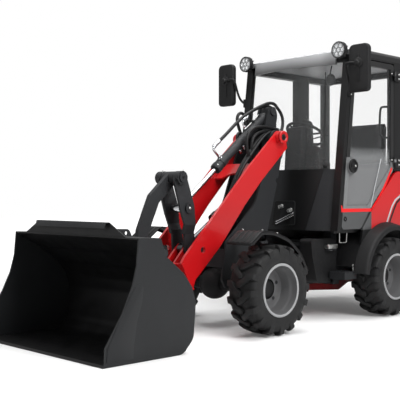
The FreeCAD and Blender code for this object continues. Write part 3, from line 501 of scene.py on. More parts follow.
# %% Studio
floor_size, floor_drop = 60, 0.0005
fresh()
bpy.ops.mesh.primitive_plane_add(size=floor_size, location=(0, 0, -floor_drop))
bpy.ops.object.mode_set(mode="EDIT")
bpy.ops.mesh.subdivide(number_cuts=3)
floor = finished("studio_floor")
floor_white = Finish("studio_white", rough=0.9)
floor_white.set(Base_Color=(0.90, 0.90, 0.90))
rays = floor_white.node("ShaderNodeLightPath").socket.node
straight, glossy = (Value(floor_white, rays.outputs[kind]) for kind in ("Is Camera Ray", "Is Glossy Ray"))
seen = straight.most(glossy * 0.30)
floor_white.shader.inputs["Emission Color"].default_value = (1, 1, 1, 1)
across, along, _ = floor_white.axes()
far = floor_white.steps(across * across + along * along, 8, 60)
near_glow = 0.08
floor_white.set(Emission_Strength=seen * (far * (1 - near_glow) + near_glow))
floor_white.on(floor)

world = bpy.data.worlds.new("studio_surround")
bpy.context.scene.world = world
world.use_nodes = True
tree = world.node_tree
path = tree.nodes.new("ShaderNodeLightPath")


def sum_of(operation, a, b, c=None):
    """One Math node of the surround; inputs may be sockets or numbers."""
    node = tree.nodes.new("ShaderNodeMath")
    node.operation = operation
    for slot, value in zip(node.inputs, (a, b, c)):
        if hasattr(value, "node"):
            tree.links.new(value, slot)
        elif value is not None:
            slot.default_value = value
    return node.outputs[0]


split = tree.nodes.new("ShaderNodeSeparateXYZ")
tree.links.new(tree.nodes.new("ShaderNodeTexCoord").outputs["Generated"], split.inputs[0])
height = sum_of("MAXIMUM", sum_of("MULTIPLY_ADD", split.outputs["Z"], 0.85, 0.12), 0.0)
plain = sum_of("MAXIMUM", path.outputs["Is Camera Ray"], path.outputs["Is Transmission Ray"])
mirror = sum_of("MULTIPLY", path.outputs["Is Glossy Ray"], height)
ambient = 0.28
background = tree.nodes["Background"]
tree.links.new(sum_of("MULTIPLY_ADD", sum_of("MAXIMUM", plain, mirror), 1 - ambient, ambient),
               background.inputs["Strength"])
background.inputs["Color"].default_value = (1, 1, 1, 1)


def softbox(name, place, target, size, watts):
    """A square lamp panel that faces a point."""
    fresh()
    bpy.ops.object.light_add(type="AREA", location=place)
    lamp = bpy.context.object
    lamp.name = name
    lamp.data.shape, lamp.data.size, lamp.data.energy = "SQUARE", size, watts
    lamp.rotation_euler = (Vector(target) - Vector(place)).to_track_quat("-Z", "Y").to_euler()
    return lamp


softbox("key_over_the_left_side", (0.5, 6.0, 5.0), (-0.2, 0, 0.8), 3.5, 420)
softbox("fill_from_ahead", (7.0, -1.5, 3.5), (0.5, 0, 0.8), 3.0, 90)
softbox("top", (-0.3, 0.2, 6.5), (-0.3, 0, 0), 4.0, 330)

# %% [markdown]
# ## Tyres
# An industrial tyre has a smooth carcass and tall lugs in two rows that meet as a
# chevron. The carcass is a profile spun about the axle. One lug is cut from a spun
# ring of tread with a stepped wedge, and the other lugs are turned copies of it.

# %% Tyre carcass
# Profiles are (distance along the axle, radius); the axle is the Y axis.
carcass_line = [(0.112, 0.198), (0.124, 0.203), (0.132, 0.222), (0.1355, 0.246), (0.1355, 0.272),
                (0.131, 0.296), (0.121, 0.313), (0.100, 0.321), (0.050, 0.3255), (0.0, 0.327)]
carcass_line += [(-s, r) for s, r in reversed(carcass_line[:-1])]
carcass = lathe("carcass", carcass_line, (0, 0, 0), (0, 1, 0), tyre_rubber, steps=72, angle=50)
print("carcass faces:", len(carcass.data.polygons))

# %% One lug of the tread
tread_line = [(-0.022, 0.318), (-0.020, 0.3495), (0.060, 0.349), (0.104, 0.3455), (0.126, 0.338),
              (0.1355, 0.324), (0.1358, 0.288), (0.1345, 0.262), (0.118, 0.262), (0.112, 0.308)]


def tread_lug():
    """A piece of tread ring, kept only inside a stepped wedge."""
    start, turn = math.radians(-24), math.radians(54)
    trace([(r, s, 0) for s, r in tread_line + tread_line[:1]])
    bpy.ops.mesh.select_all(action="SELECT")
    bpy.ops.mesh.remove_doubles(threshold=1e-5)
    bpy.ops.transform.rotate(value=start, orient_axis="Y", center_override=(0, 0, 0))
    bpy.ops.mesh.edge_face_add()
    bpy.ops.mesh.spin(steps=18, angle=turn, center=(0, 0, 0), axis=(0, 1, 0))
    outwards()
    ring = finished("lug")
    wedge = [(-0.020, 0.150), (0.026, 0.150), (0.030, 0.092), (0.046, 0.080), (0.094, 0.014), (0.096, -0.016),
             (0.060, -0.017), (0.020, 0.046), (-0.002, 0.060), (-0.018, 0.088)]
    inside_tread, through_tread = 0.25, 0.12
    fill([(inside_tread, y, -t) for t, y in wedge])
    bpy.ops.mesh.extrude_region_move(TRANSFORM_OT_translate={"value": (through_tread, 0, 0)})
    outwards()
    carve(ring, finished("wedge"), "INTERSECT")
    soften(0.0035, 2, 30)
    return finished("lug", tyre_rubber, 35)


lug = tread_lug()
low, high = [Vector(map(pick, zip(*(v.co for v in lug.data.vertices)))) for pick in (min, max)]
print("lug from", low, "to", high, "faces", len(lug.data.polygons))

# %% [markdown]
# The lug is turned about the axle once for every pitch. The second row is the same
# lug mirrored and set half a pitch on, so the rows mesh like a zip. The same finished
# tyre then goes to all four wheels, each with its own mesh.

# %% Four tyres
wheels = ("fl", "fr", "rl", "rr")
lugs_in_a_row = 16


def turned_copy(piece, degrees, flip=False):
    """A copy turned about the axle and, for the other row, mirrored."""
    copy = copy_of(piece)
    copy.scale.y = -1 if flip else 1
    copy.rotation_euler.y = math.radians(degrees)
    settle()
    if flip:
        bpy.ops.object.mode_set(mode="EDIT")
        outwards()
        bpy.ops.object.mode_set(mode="OBJECT")
    return copy


pitch = 360 / lugs_in_a_row
row = [turned_copy(lug, i * pitch) for i in range(lugs_in_a_row)]
row += [turned_copy(lug, (i + 0.5) * pitch, flip=True) for i in range(lugs_in_a_row)]
bpy.data.objects.remove(lug)
tyre = together("tyre", [carcass] + row)
for corner in wheels:
    low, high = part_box("tyre_" + corner)
    copy = moved(tyre, "tyre_dressed_" + corner, (low + high) / 2)
    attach(copy, "wheel_" + corner)
    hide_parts("tyre_" + corner)
bpy.data.objects.remove(tyre)
print("tyres: 4, faces in each:", len(copy.data.polygons))

# %% [markdown]
# ## Rims
# The rim is a deep drum: its disc lies far behind the outer edge, inside the width of
# the tyre, so only the rolled edge is seen in full light. The disc and the back of the
# barrel are a darker grey, painted shade. Five bolts with washers hold the disc, and a
# valve stem stands near the edge.

# %% Rim
def hexagon(place, towards, size, height, finish, name="bolt"):
    """A hexagon bolt head on a washer, with chamfered corners."""
    place, towards = Vector(place), Vector(towards).normalized()
    fresh()
    bpy.ops.mesh.primitive_cylinder_add(vertices=6, radius=size * 0.577, depth=height,
                                        location=(0, 0, height / 2))
    bpy.ops.object.mode_set(mode="EDIT")
    bpy.ops.mesh.select_all(action="DESELECT")
    bpy.ops.mesh.primitive_cylinder_add(vertices=20, radius=size * 0.78, depth=height * 0.25,
                                        location=(0, 0, height / 8 - height / 2))
    bpy.ops.object.mode_set(mode="OBJECT")
    soften(size * 0.06, 1, 40)
    bolt = bpy.context.object
    bolt.rotation_euler = towards.to_track_quat("Z", "Y").to_euler()
    bpy.ops.object.transform_apply(location=True, rotation=False, scale=True)
    bolt.location = place
    return finished(name, finish, 30)


def dome(place, towards, radius, height, finish):
    """A domed head, spun from a short arc."""
    place, towards = Vector(place), Vector(towards).normalized()
    line = [(height * math.cos(a), radius * math.sin(a)) for a in (0.02, 0.5, 0.9, 1.25, math.pi / 2)]
    return lathe("rivet", line + [(-height * 0.2, radius)], place, place + towards, finish, 16, 60)


drum_line = [(0.1290, 0.1862), (0.1312, 0.189), (0.1315, 0.196), (0.1318, 0.203), (0.1290, 0.2058),
             (0.122, 0.2058), (0.119, 0.199)]
lip_line = [(0.119, 0.199), (0.110, 0.1905), (-0.110, 0.1905), (-0.126, 0.2058), (-0.1315, 0.2050),
            (-0.1315, 0.196)]
bowl_line = [(0.1290, 0.1862), (0.126, 0.1850), (0.116, 0.1845), (0.085, 0.1815), (0.072, 0.176),
             (0.060, 0.170), (-0.004, 0.1665), (-0.016, 0.162), (-0.0195, 0.152), (-0.018, 0.118),
             (-0.012, 0.100), (-0.012, 0.079)]
back_line = [(-0.1315, 0.196), (-0.112, 0.183), (-0.085, 0.177), (-0.070, 0.166), (-0.034, 0.163),
             (-0.030, 0.076)]


def drum(outward):
    """Edge ring, barrel, disc, hub cap and bolts of one wheel, about the origin."""
    axis = Vector((0, outward, 0))
    # The bowl and the back take the darker grey, painted shade inside the drum.
    parts = [lathe("edge", drum_line, (0, 0, 0), axis, rim_silver, 72, 60),
             lathe("outside", lip_line, (0, 0, 0), axis, rim_silver, 72, 40),
             lathe("bowl", bowl_line, (0, 0, 0), axis, rim_painted_shade, 72, 50),
             lathe("back", back_line, (0, 0, 0), axis, rim_painted_shade, 72, 50)]
    cap = [(0.006, 0.0005), (0.006, 0.030), (0.002, 0.038), (0.000, 0.052), (-0.004, 0.060), (-0.030, 0.079),
           (-0.012, 0.079)]
    parts.append(lathe("hub_cap", cap, (0, 0, 0), axis, cast_iron, 48, 40))
    bolts, bolt_circle, first_bolt = 5, 0.106, 0.31
    for i in range(bolts):
        a = math.tau * i / bolts + first_bolt
        at = Vector((bolt_circle * math.cos(a), -0.0165 * outward, bolt_circle * math.sin(a)))
        parts.append(hexagon(at, axis, 0.026, 0.020, linkage_grey))
    parts.append(lathe("valve", [(0, 0.004), (0.034, 0.004), (0.036, 0.0055), (0.048, 0.0055),
                                 (0.049, 0.001)], (0.170, 0.050 * outward, 0.05),
                       (0.165, 0.092 * outward, 0.05), seal_rubber, 12, 40))
    return together("drum", parts)


for corner in wheels:
    low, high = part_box("rim_" + corner)
    outward = 1 if corner.endswith("l") else -1
    wheel = drum(outward)
    copy = moved(wheel, "rim_dressed_" + corner, (low + high) / 2)
    bpy.data.objects.remove(wheel)
    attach(copy, "wheel_" + corner)
    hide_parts("rim_" + corner)
print("rims: 4, faces in each:", len(copy.data.polygons))

# %% [markdown]
# ## Fenders
# The front fenders are moulded in black plastic: a sheet that follows the tyre, with
# raised ribs that stiffen it and a rolled edge outside. The line of the sheet is drawn
# from the side, extruded across the tyre, and given its thickness with Solidify.

# %% Front fenders
def strip(name, line, y0, y1, thick, finish, bevel=0.0015):
    """A sheet of even thickness along a line of (x, z[, radius]) points, between two widths."""
    trace([(p.x, y0, p.y) for p in rounded([line[0][:2], *line[1:-1], line[-1][:2]])])
    bpy.ops.mesh.select_all(action="SELECT")
    bpy.ops.mesh.extrude_region_move(TRANSFORM_OT_translate={"value": (0, y1 - y0, 0)})
    outwards()
    modifier("SOLIDIFY", thickness=thick, offset=0, use_even_offset=True)
    bpy.ops.object.mode_set(mode="EDIT")
    outwards()
    bpy.ops.object.mode_set(mode="OBJECT")
    soften(bevel)
    return finished(name, finish, 30)


def offset_line(line, by):
    """The same line moved sideways, to the left of its direction of travel."""
    points = [Vector(p[:2]) for p in line]
    moved_points = []
    for i, here in enumerate(points):
        ahead = (points[min(i + 1, len(points) - 1)] - here).normalized() if i + 1 < len(points) else None
        behind = (here - points[i - 1]).normalized() if i else None
        ahead, behind = ahead or behind, behind or ahead
        across = (Vector((-ahead.y, ahead.x)) + Vector((-behind.y, behind.x))).normalized()
        narrowing = max(0.3, across.dot(Vector((-ahead.y, ahead.x))))
        moved_points.append((*(here + across * by / narrowing), *line[i][2:]))
    return moved_points


fender_line = [(0.622, 0.722), (0.505, 0.807, 0.09), (0.358, 0.797, 0.28), (0.183, 0.735, 0.28),
               (0.046, 0.625, 0.28), (-0.042, 0.478)]
skin_line = offset_line(fender_line, 0.004)
rib_line = offset_line(fender_line[:3] + [(0.200, 0.742)], -0.0012)
inner, outer = 0.452, 0.702
first_rib, rib_pitch, rib_width = inner + 0.040, 0.052, 0.028
parts = [strip("skin", skin_line, inner, outer, 0.008, black_plastic)]
for i in range(4):
    y = first_rib + i * rib_pitch
    parts.append(strip("rib", rib_line, y, y + rib_width, 0.004, black_plastic, bevel=0.0012))
edge_line = offset_line(fender_line, 0.014)
parts.append(strip("edge", edge_line, outer - 0.008, outer, 0.026, black_plastic, bevel=0.002))
parts.append(strip("front_lip", [(0.6235, 0.7225), (0.6255, 0.701)], inner, outer, 0.006, black_plastic))
for x, z in ((0.47, 0.812), (0.30, 0.785)):
    for y in (inner + 0.018, outer - 0.03):
        parts.append(dome((x, y, z), (-0.1, 0, 1), 0.008, 0.004, steel))
parts.append(block("bracket", (0.250, 0.195, 0.7155), (0.310, 0.512, 0.7320), anthracite))
parts.append(block("bracket_post", (0.250, 0.462, 0.716), (0.310, 0.512, 0.762), anthracite))
left_fender = together("front_fender_left", parts)
right_fender = mirrored(left_fender, "front_fender_right")
for piece in (left_fender, right_fender):
    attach(piece, "front_frame")
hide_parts("front_fenders")
print("front fenders, faces:", len(left_fender.data.polygons))

# %% [markdown]
# The rear fenders are rounder. Each is a ring about the rear axle whose section is an
# L: a broad tread cover and a short lip outside. A profile spun through part of a turn
# gives each of the two, and the pair is joined and mirrored.

# %% Rear fenders
arch = 0.475
flare_line = [(0.606, arch), (0.606, arch + 0.010), (0.692, arch - 0.012), (0.709, arch - 0.018),
              (0.718, arch - 0.028), (0.720, arch - 0.042), (0.720, arch - 0.062), (0.712, arch - 0.062),
              (0.709, arch - 0.034), (0.692, arch - 0.024)]


def arc_ring(name, profile, first, last, steps, finish):
    """A closed profile of (y, radius) about the rear axle, spun from one angle to another."""
    fill([(r, y, 0) for y, r in profile])
    bpy.ops.mesh.spin(steps=steps, angle=math.radians(last - first), center=(0, 0, 0), axis=(0, 1, 0))
    outwards()
    bpy.ops.object.mode_set(mode="OBJECT")
    settle()
    piece = bpy.context.object
    piece.rotation_euler.y = -math.radians(first)
    piece.location = (rear_axle.x, 0, rear_axle.z)
    return finished(name, finish, 40)


top_line = [(0.392, arch - 0.010), (0.392, arch), (0.606, arch), (0.606, arch - 0.010)]
flare_left = together("rear_fender_left", [arc_ring("flare", flare_line, 6, 160, 60, black_plastic),
                                           arc_ring("cover", top_line, 13, 160, 56, black_plastic)])
flare_right = mirrored(flare_left, "rear_fender_right")
for piece in (flare_left, flare_right):
    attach(piece, "rear_frame")
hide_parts("rear_fenders")
print("rear fenders, faces:", len(flare_left.data.polygons))

# %% [markdown]
# ## Door
# The stripes are thin bands that follow the door's face, just proud of the paint. A
# band is a line pushed to both sides by half its width and filled. The handle is a
# round cup with a paddle, and the lock sits low in the front corner.

# %% Door stripes, handle and lock
def curved(start, end, bow, steps=12):
    """Points along a shallow arch from start to end; bow is its height to the left."""
    a, b = Vector(start), Vector(end)
    side = Vector((-(b - a).y, (b - a).x)).normalized()
    shares = [i / steps for i in range(steps + 1)]
    return [tuple(a.lerp(b, t) + side * bow * 4 * t * (1 - t)) for t in shares]


def band(name, line, width, y0, y1, finish):
    """A flat strip of even width along a line of (x, z) points."""
    edges = offset_line(line, width / 2) + offset_line(line, -width / 2)[::-1]
    return side_plate(name, edges, y0, y1, finish, 0)


stripe_red = paint("stripe_red", srgb(226, 18, 22), 0.35, drift=0.02, peel=0.02)
stripe_silver = paint("stripe_silver", srgb(182, 184, 186), 0.35, drift=0.02, peel=0.02)
door_skin, door_frame, cover_skin = 0.6, 0.6095, 0.6102
proud = door_skin + 0.0004
bar = side_plate("stripe_bar", [(-0.604, 0.930), (-0.602, 0.987), (-0.614, 0.987), (-0.624, 0.960),
                                (-1.052, 0.958), (-1.036, 0.930)], proud, proud + 0.0012, stripe_red, 0)
rise = band("stripe_rise", curved((-1.046, 0.947), (-1.362, 1.322), 0.020), 0.024, proud,
            proud + 0.0012, stripe_red)
line = band("stripe_line", [(-1.034, 0.966), (-1.066, 1.061), (-1.110, 1.188), (-1.154, 1.300),
                            (-1.190, 1.400)], 0.009, proud, proud + 0.0010, stripe_silver)
stripes = together("door_stripes", [bar, rise, line])

cup = [(0, 0.060), (0.010, 0.060), (0.014, 0.056), (0.014, 0.046), (0.006, 0.042), (0.006, 0)]
at = Vector((-0.736, 0.6242, 1.325))
handle = together("door_handle", [
    lathe("cup", cup, at, at + Vector((0, 1, 0)), black_plastic, 48),
    block("paddle", at + Vector((-0.038, 0.004, -0.016)), at + Vector((0.038, 0.016, 0.016)),
          cab_black, 0.004),
    dome(at + Vector((-0.020, 0.016, 0)), (0, 1, 0), 0.009, 0.004, steel)])
lock_at = Vector((-0.659, door_skin, 0.872))
lock = together("door_lock", [
    lathe("rosette", [(0, 0.021), (0.004, 0.021), (0.006, 0.018), (0.006, 0.012), (0.003, 0.011), (0.003, 0)],
          lock_at, lock_at + Vector((0, 1, 0)), black_plastic, 32),
    block("key_slot", lock_at + Vector((-0.0012, 0.003, -0.006)),
          lock_at + Vector((0.0012, 0.0042, 0.006)), steel, 0)])
hinge_heights = (1.372, 2.154)
leaf_face, block_face = door_frame + 0.004, 0.628
leaves = []
for z in hinge_heights:
    leaves += [block("leaf", (-1.384, door_frame, z + 0.004), (-1.326, leaf_face, z + 0.040),
                     cab_black, 0.0015),
               dome((-1.345, leaf_face, z + 0.022), (0, 1, 0), 0.008, 0.004, steel)]
for piece in (stripes, handle, lock, together("hinge_leaves", leaves)):
    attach(piece, "door")
blocks = [block("hinge_block", (-1.484, 0.594, z - 0.042), (-1.396, block_face, z + 0.042), cab_black, 0.006)
          for z in hinge_heights]
blocks += [dome((-1.440, block_face, z + dz), (0, 1, 0), 0.009, 0.005, steel)
           for z in hinge_heights for dz in (-0.02, 0.02)]
# The silver band along the side cover's top edge is a painted highlight, where the seam's edge catches the
# light.
seam_highlight_band = band("seam_highlight_band", [(-1.262, 0.812), (-1.288, 0.862), (-1.352, 0.974), (-1.405, 1.030),
                               (-1.484, 1.069), (-1.620, 1.100), (-1.860, 1.118)], 0.019, cover_skin,
                 cover_skin + 0.0012, stripe_silver)
black_line = band("black_line", [(-1.300, 0.806), (-1.326, 0.852), (-1.390, 0.956), (-1.430, 1.008),
                                 (-1.484, 1.042), (-1.620, 1.072), (-1.860, 1.090)], 0.021, cover_skin,
                  cover_skin + 0.0012, cab_black)
left_lines = together("left_lines", [seam_highlight_band, black_line])
for piece in (together("hinge_blocks", blocks), left_lines, mirrored(left_lines, "right_lines")):
    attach(piece, "rear_frame")
print("door dressing ready")

# %% [markdown]
# The door's panel is lighter above the bar than below, and its window frame is
# black. One material does all three by height: a colour for each zone, switched on
# the Object coordinate z. The low part of the glass is toned like the panel.

# %% Door and glass finishes
bar_height, sill_height = 0.945, 1.40
lower_grey, upper_grey, trim_black = srgb(72, 73, 74), srgb(112, 113, 114), srgb(18, 18, 19)
door_paint = Finish("door_panel")
_, _, z = door_paint.axes()
panel = door_paint.mix(z.above(bar_height), lower_grey, upper_grey)
door_paint.set(Base_Color=door_paint.mix(z.above(sill_height), panel, trim_black))
door_paint.gloss(8, 0.40, 0.50)
door_paint.bump(door_paint.noise(260, 2), 0.06, 0.0005)

toned_glass = Finish("toned_glass", rough=0.05)
_, _, z = toned_glass.axes()
tone = toned_glass.steps(z, 1.33, 1.42, 0, 1)
toned_glass.set(Base_Color=toned_glass.mix(tone, srgb(122, 123, 124), srgb(150, 152, 153)))
toned_glass.set(Alpha=toned_glass.steps(z, 1.30, 1.50, 0.86, 0.045))

# %% [markdown]
# The roof is silver on top and darker towards its rim as painted shade, with black
# gutters along both sides. The engine lid at the back is red, and a grille and two lamps
# are marked on it by |y| and z: the product of tests is 1 only inside a rectangle, and the
# fractional part of z gives the slats.

# %% Roof and lid finishes
red_low, red_high = srgb(186, 11, 17), srgb(195, 13, 19)
gutter, roof_rim, roof_top = 0.545, 2.215, 2.325
roof_paint = Finish("roof_paint")
_, y, z = roof_paint.axes()
# Towards the rim the silver turns grey: painted shade under the roof's edge.
skin = roof_paint.mix(roof_paint.steps(z, roof_rim, roof_top), srgb(92, 92, 93), srgb(188, 189, 191))
roof_paint.set(Base_Color=roof_paint.mix(y.size().above(gutter), skin, trim_black))
roof_paint.gloss(7, 0.32, 0.42)

grille_half, grille_low, grille_top, slats_in_a_metre = 0.330, 0.900, 1.130, 32
lid_paint = Finish("lid_red", coat=0.35)
_, y, z = lid_paint.axes()
grille = y.size().below(grille_half) * z.above(grille_low) * z.below(grille_top)
slat = (z * slats_in_a_metre).math("FRACT").above(0.42) * grille
lamps = y.size().above(0.440) * y.size().below(0.520) * z.above(0.960) * z.below(grille_top)
lamp_colour = lid_paint.mix(z.above(1.080), srgb(120, 4, 6), srgb(214, 96, 8))
body_red = lid_paint.mix(lid_paint.noise(2.3, 4), red_low, red_high)
lid_paint.set(Base_Color=lid_paint.mix(lamps, lid_paint.mix(slat, body_red, srgb(12, 12, 13)), lamp_colour))
lid_paint.gloss(7, 0.28, 0.36)
lid_paint.bump(slat * -1, 0.6, 0.004)

# %% [markdown]
# The nose panel is dark plastic, with painted shade from its middle to an edge on the left
# that runs in two slopes. The rear chassis is grey, and dark red along its belly. The
# side covers are red, with a tip under the door that is grey above and black below.

# %% Nose, chassis and cover finishes
nose_paint = Finish("nose_panel")
_, y, z = nose_paint.axes()
waist = 0.956
# From the middle to an edge in two slopes the panel is painted darker: painted shade.
edge = ((z - waist) * 0.252).most((waist - z) * 0.206) + 0.35
centre = (y - edge).below(0) * nose_paint.steps(y, 0.0, 0.10)
nose_paint.set(Base_Color=nose_paint.mix(centre, srgb(40, 41, 43), srgb(13, 13, 14)),
               Specular_IOR_Level=dull_level)
nose_paint.gloss(9, 0.42, 0.54)
nose_paint.bump(nose_paint.noise(500, 2), 0.10, 0.0005)

chassis_paint = Finish("chassis_paint")
_, _, z = chassis_paint.axes()
chassis_paint.set(Base_Color=chassis_paint.mix(z.below(0.292), srgb(36, 37, 39), srgb(96, 7, 10)),
                  Specular_IOR_Level=dull_level)
chassis_paint.gloss(8, 0.44, 0.54)
chassis_paint.bump(chassis_paint.noise(260, 2), 0.08, 0.0005)

cover_paint = Finish("cover_red", coat=0.35)
x, _, z = cover_paint.axes()
tip = x.above(-1.032) * z.below(0.93)
tip_colour = cover_paint.mix(z.above(0.775), srgb(14, 14, 15), lower_grey)
body_red = cover_paint.mix(cover_paint.noise(2.3, 4), red_low, red_high)
cover_paint.set(Base_Color=cover_paint.mix(tip, body_red, tip_colour))
cover_paint.gloss(7, 0.28, 0.36)
cover_paint.bump(cover_paint.noise(260, 2), 0.06, 0.0005)
print("finishes so far:", len(bpy.data.materials))

# %% [markdown]
# ## Mirrors and lamps
# The mirror heads are soft-cornered shells with the glass sunk into their rear face.
# The work lamps carry a ring of small round reflectors under a clear lens.

# %% Mirrors
mirror_y, mirror_low, mirror_high, mirror_back, border = 0.775, 1.935, 2.335, -0.655, 0.012
outline = [(mirror_y - 0.100, mirror_low, 0.035), (mirror_y + 0.097, mirror_low, 0.035),
           (mirror_y + 0.097, mirror_high, 0.045), (mirror_y - 0.100, mirror_high, 0.045)]
shell = slab("shell", outline, (0.054, 0, 0), lambda y, z: Vector((mirror_back, y, z)), black_plastic, 0.014)
inset = [(y + (border if y < mirror_y else -border), z + (border if z == mirror_low else -border), r)
         for y, z, r in outline]
pane = slab("pane", inset, (-0.0015, 0, 0), lambda y, z: Vector((mirror_back + 0.0001, y, z)),
            mirror_glass, 0)
rib = slab("rib", [(mirror_y - 0.016, 2.02), (mirror_y + 0.016, 2.02), (mirror_y + 0.012, 2.25, 0.01),
                   (mirror_y - 0.012, 2.25, 0.01)], (0.006, 0, 0), lambda y, z: Vector((-0.6015, y, z)),
           black_plastic, 0.002)
arm = tube("arm", [(-0.715, 0.615, 1.955), (-0.700, 0.640, 1.965), (-0.655, 0.648, 2.020),
                   (-0.618, 0.646, 2.110), (-0.596, 0.648, 2.172), (-0.586, 0.675, 2.184),
                   (-0.583, 0.745, 2.178), (-0.583, 0.775, 2.176)], 0.0105, black_plastic, 3, 4)
joint = lathe("joint", [(0, 0.046), (0.006, 0.045), (0.012, 0.036), (0.014, 0.026), (0.026, 0.024),
                        (0.034, 0.018), (0.036, 0)], (-0.6015, 0.775, 2.176), (-0.5, 0.775, 2.176),
              black_plastic, 32)
clamp = block("clamp", (-0.740, 0.6005, 1.915), (-0.690, 0.6235, 1.995), black_plastic, 0.006)
bolts = [dome((-0.715, 0.6235, z), (0, 1, 0), 0.007, 0.004, steel) for z in (1.936, 1.974)]
mirror_left = together("mirror_left", [shell, pane, rib, arm, joint, clamp, *bolts])
mirror_right = mirrored(mirror_left, "mirror_right")
for piece in (mirror_left, mirror_right):
    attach(piece, "rear_frame")
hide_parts("mirrors")
print("mirror faces:", len(mirror_left.data.polygons))

# %% Work lamps
lamp_at, lamp_r = Vector((-0.636, 0.544, 2.316)), 0.0728
forward = Vector((1, 0, 0))
shell = lathe("housing", [(-0.070, 0), (-0.070, 0.036), (-0.052, 0.046), (-0.036, 0.068), (-0.034, lamp_r),
                          (0.002, lamp_r), (0.004, lamp_r - 0.002), (0.004, lamp_r - 0.007),
                          (-0.006, lamp_r - 0.009), (-0.006, 0)], lamp_at, lamp_at + forward,
              black_plastic, 48)
parts = [shell]
reflector = Finish("lamp_reflector", rough=0.16, metal=1.0)
reflector.set(Base_Color=(0.86, 0.87, 0.88))
dish = [(0.002, 0.0155), (0.0015, 0.0145), (-0.001, 0.009), (-0.002, 0.004), (-0.002, 0)]
ring_radius = 0.040
spots = [(0, 0)] + [(ring_radius * math.cos(math.tau * i / 6), ring_radius * math.sin(math.tau * i / 6))
                    for i in range(6)]
for y, z in spots:
    at = lamp_at + Vector((-0.004, y, z))
    parts.append(lathe("dish", [(-0.0025, 0.0155), *dish], at, at + forward, reflector, 24))
parts.append(lathe("lens", [(0.0, 0), (0.0, lamp_r - 0.009), (0.0015, lamp_r - 0.009), (0.0022, 0.04),
                            (0.0024, 0)], lamp_at, lamp_at + forward, lamp_lens, 48))
for angle in range(0, 360, 30):
    fin = block("fin", (-0.062, -0.0015, 0.046), (-0.036, 0.0015, 0.066), black_plastic, 0)
    fin.rotation_euler.x = math.radians(angle)
    fin.location = lamp_at
    parts.append(fin)
parts.append(block("stem", (-0.716, 0.534, 2.262), (-0.702, 0.554, 2.316), cab_black, 0.003))
parts.append(block("foot", (-0.730, 0.532, 2.262), (-0.700, 0.556, 2.2845), cab_black, 0.002))
lamp_left = together("work_lamp_left", parts)
lamp_right = mirrored(lamp_left, "work_lamp_right")
for piece in (lamp_left, lamp_right):
    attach(piece, "rear_frame")
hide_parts("work_lamps")
print("lamp reflectors:", len(spots))

# %% [markdown]
# ## Seat
# Cushion and backrest are stuffed pads. Each starts as a rounded block slightly too
# small, is remeshed fine, and is blown up with Blender's Cloth under pressure; how far
# a point may move is capped. The pan, the foot with its bellows and the belt are
# stiff, and are joined into one shell.

# %% Upholstery
cloth = Finish("seat_cloth")
cloth.set(Base_Color=cloth.mix(cloth.noise(14, 4), srgb(34, 34, 36), srgb(46, 46, 48)))
cloth.gloss(90, 0.78, 0.92, 2)
cloth.bump(cloth.cells(520).least(0.3) + cloth.noise(30, 3) * 0.4, 0.5, 0.0008)


cell, pressure, last_frame = 0.006, 4.0, 20


def plump(name, points, y0, y1, bevel, cap):
    """A stuffed pad: an outline seen from the side, rounded, then blown up by simulation."""
    pad = side_plate(name, points, y0, y1, cloth, bevel)
    modifier("REMESH", mode="VOXEL", voxel_size=cell)
    start = [v.co.copy() for v in pad.data.vertices]
    wind = pad.modifiers.new("Cloth", "CLOTH")
    wind.settings.use_pressure = True
    wind.settings.uniform_pressure_force = pressure
    wind.settings.effector_weights.gravity = 0
    for frame_number in range(1, last_frame + 1):
        bpy.context.scene.frame_set(frame_number)
    bpy.ops.object.modifier_apply(modifier="Cloth")
    bpy.context.scene.frame_set(1)
    for v, before in zip(pad.data.vertices, start):
        step = v.co - before
        if step.length > cap:
            v.co = before + step.normalized() * cap
    modifier("SUBSURF", levels=1, render_levels=1)
    pad = finished(name, cloth, 60)
    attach(pad, "rear_frame")
    return pad


cushion_half, back_half, swell, bolster_swell = 0.232, 0.228, 0.012, 0.006
cushion = plump("seat_cushion", [(-1.320, 1.172, 0.03), (-1.310, 1.252, 0.045), (-1.625, 1.236, 0.03),
                                 (-1.700, 1.236, 0.02), (-1.700, 1.172, 0.02)],
                -cushion_half, cushion_half, 0.030, swell)
plump("seat_back", [(-1.655, 1.262, 0.03), (-1.712, 1.776, 0.035), (-1.782, 1.784, 0.035),
                    (-1.776, 1.262, 0.03)], -back_half, back_half, 0.032, swell)
bolsters = [plump("seat_bolster_" + side, [(-1.330, 1.200, 0.02), (-1.330, 1.262, 0.03),
                                           (-1.620, 1.262, 0.03), (-1.640, 1.200, 0.02)],
                  *sorted((s * 0.180, s * 0.243)), 0.022, bolster_swell)
            for side, s in (("left", 1), ("right", -1))]
shell = [side_plate("pan", [(-1.310, 1.152, 0.01), (-1.310, 1.168, 0.01), (-1.788, 1.168, 0.01),
                            (-1.788, 1.152, 0.01)], -0.240, 0.240, black_plastic, 0.004),
         side_plate("back_shell", [(-1.785, 1.150, 0.01), (-1.789, 1.780, 0.02), (-1.797, 1.770, 0.01),
                                   (-1.789, 1.150, 0.01)], -0.236, 0.236, black_plastic, 0.003),
         block("foot", (-1.690, -0.178, 1.0505), (-1.380, 0.178, 1.150), black_plastic, 0.006)]
for i in range(5):
    z = 1.062 + i * 0.017
    shell.append(block("bellows", (-1.694, -0.182, z), (-1.376, 0.182, z + 0.008), hose_rubber, 0.003))
belt = [block("belt_buckle", (-1.600, -0.252, 1.235), (-1.560, -0.242, 1.300), stripe_red, 0.003),
        block("belt_reel", (-1.740, 0.243, 1.180), (-1.680, 0.252, 1.240), black_plastic, 0.003)]
shell = together("seat_shell", shell + belt)
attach(shell, "rear_frame")
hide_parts("seat")
print("seat pads:", 2 + len(bolsters))

# %% [markdown]
# ## Driver's place
# The steering wheel has a knob; behind it a dash pod carries the display. The right
# console holds a joystick with red trim. Each group is joined into one object, which
# stands in for the plain CAD node.

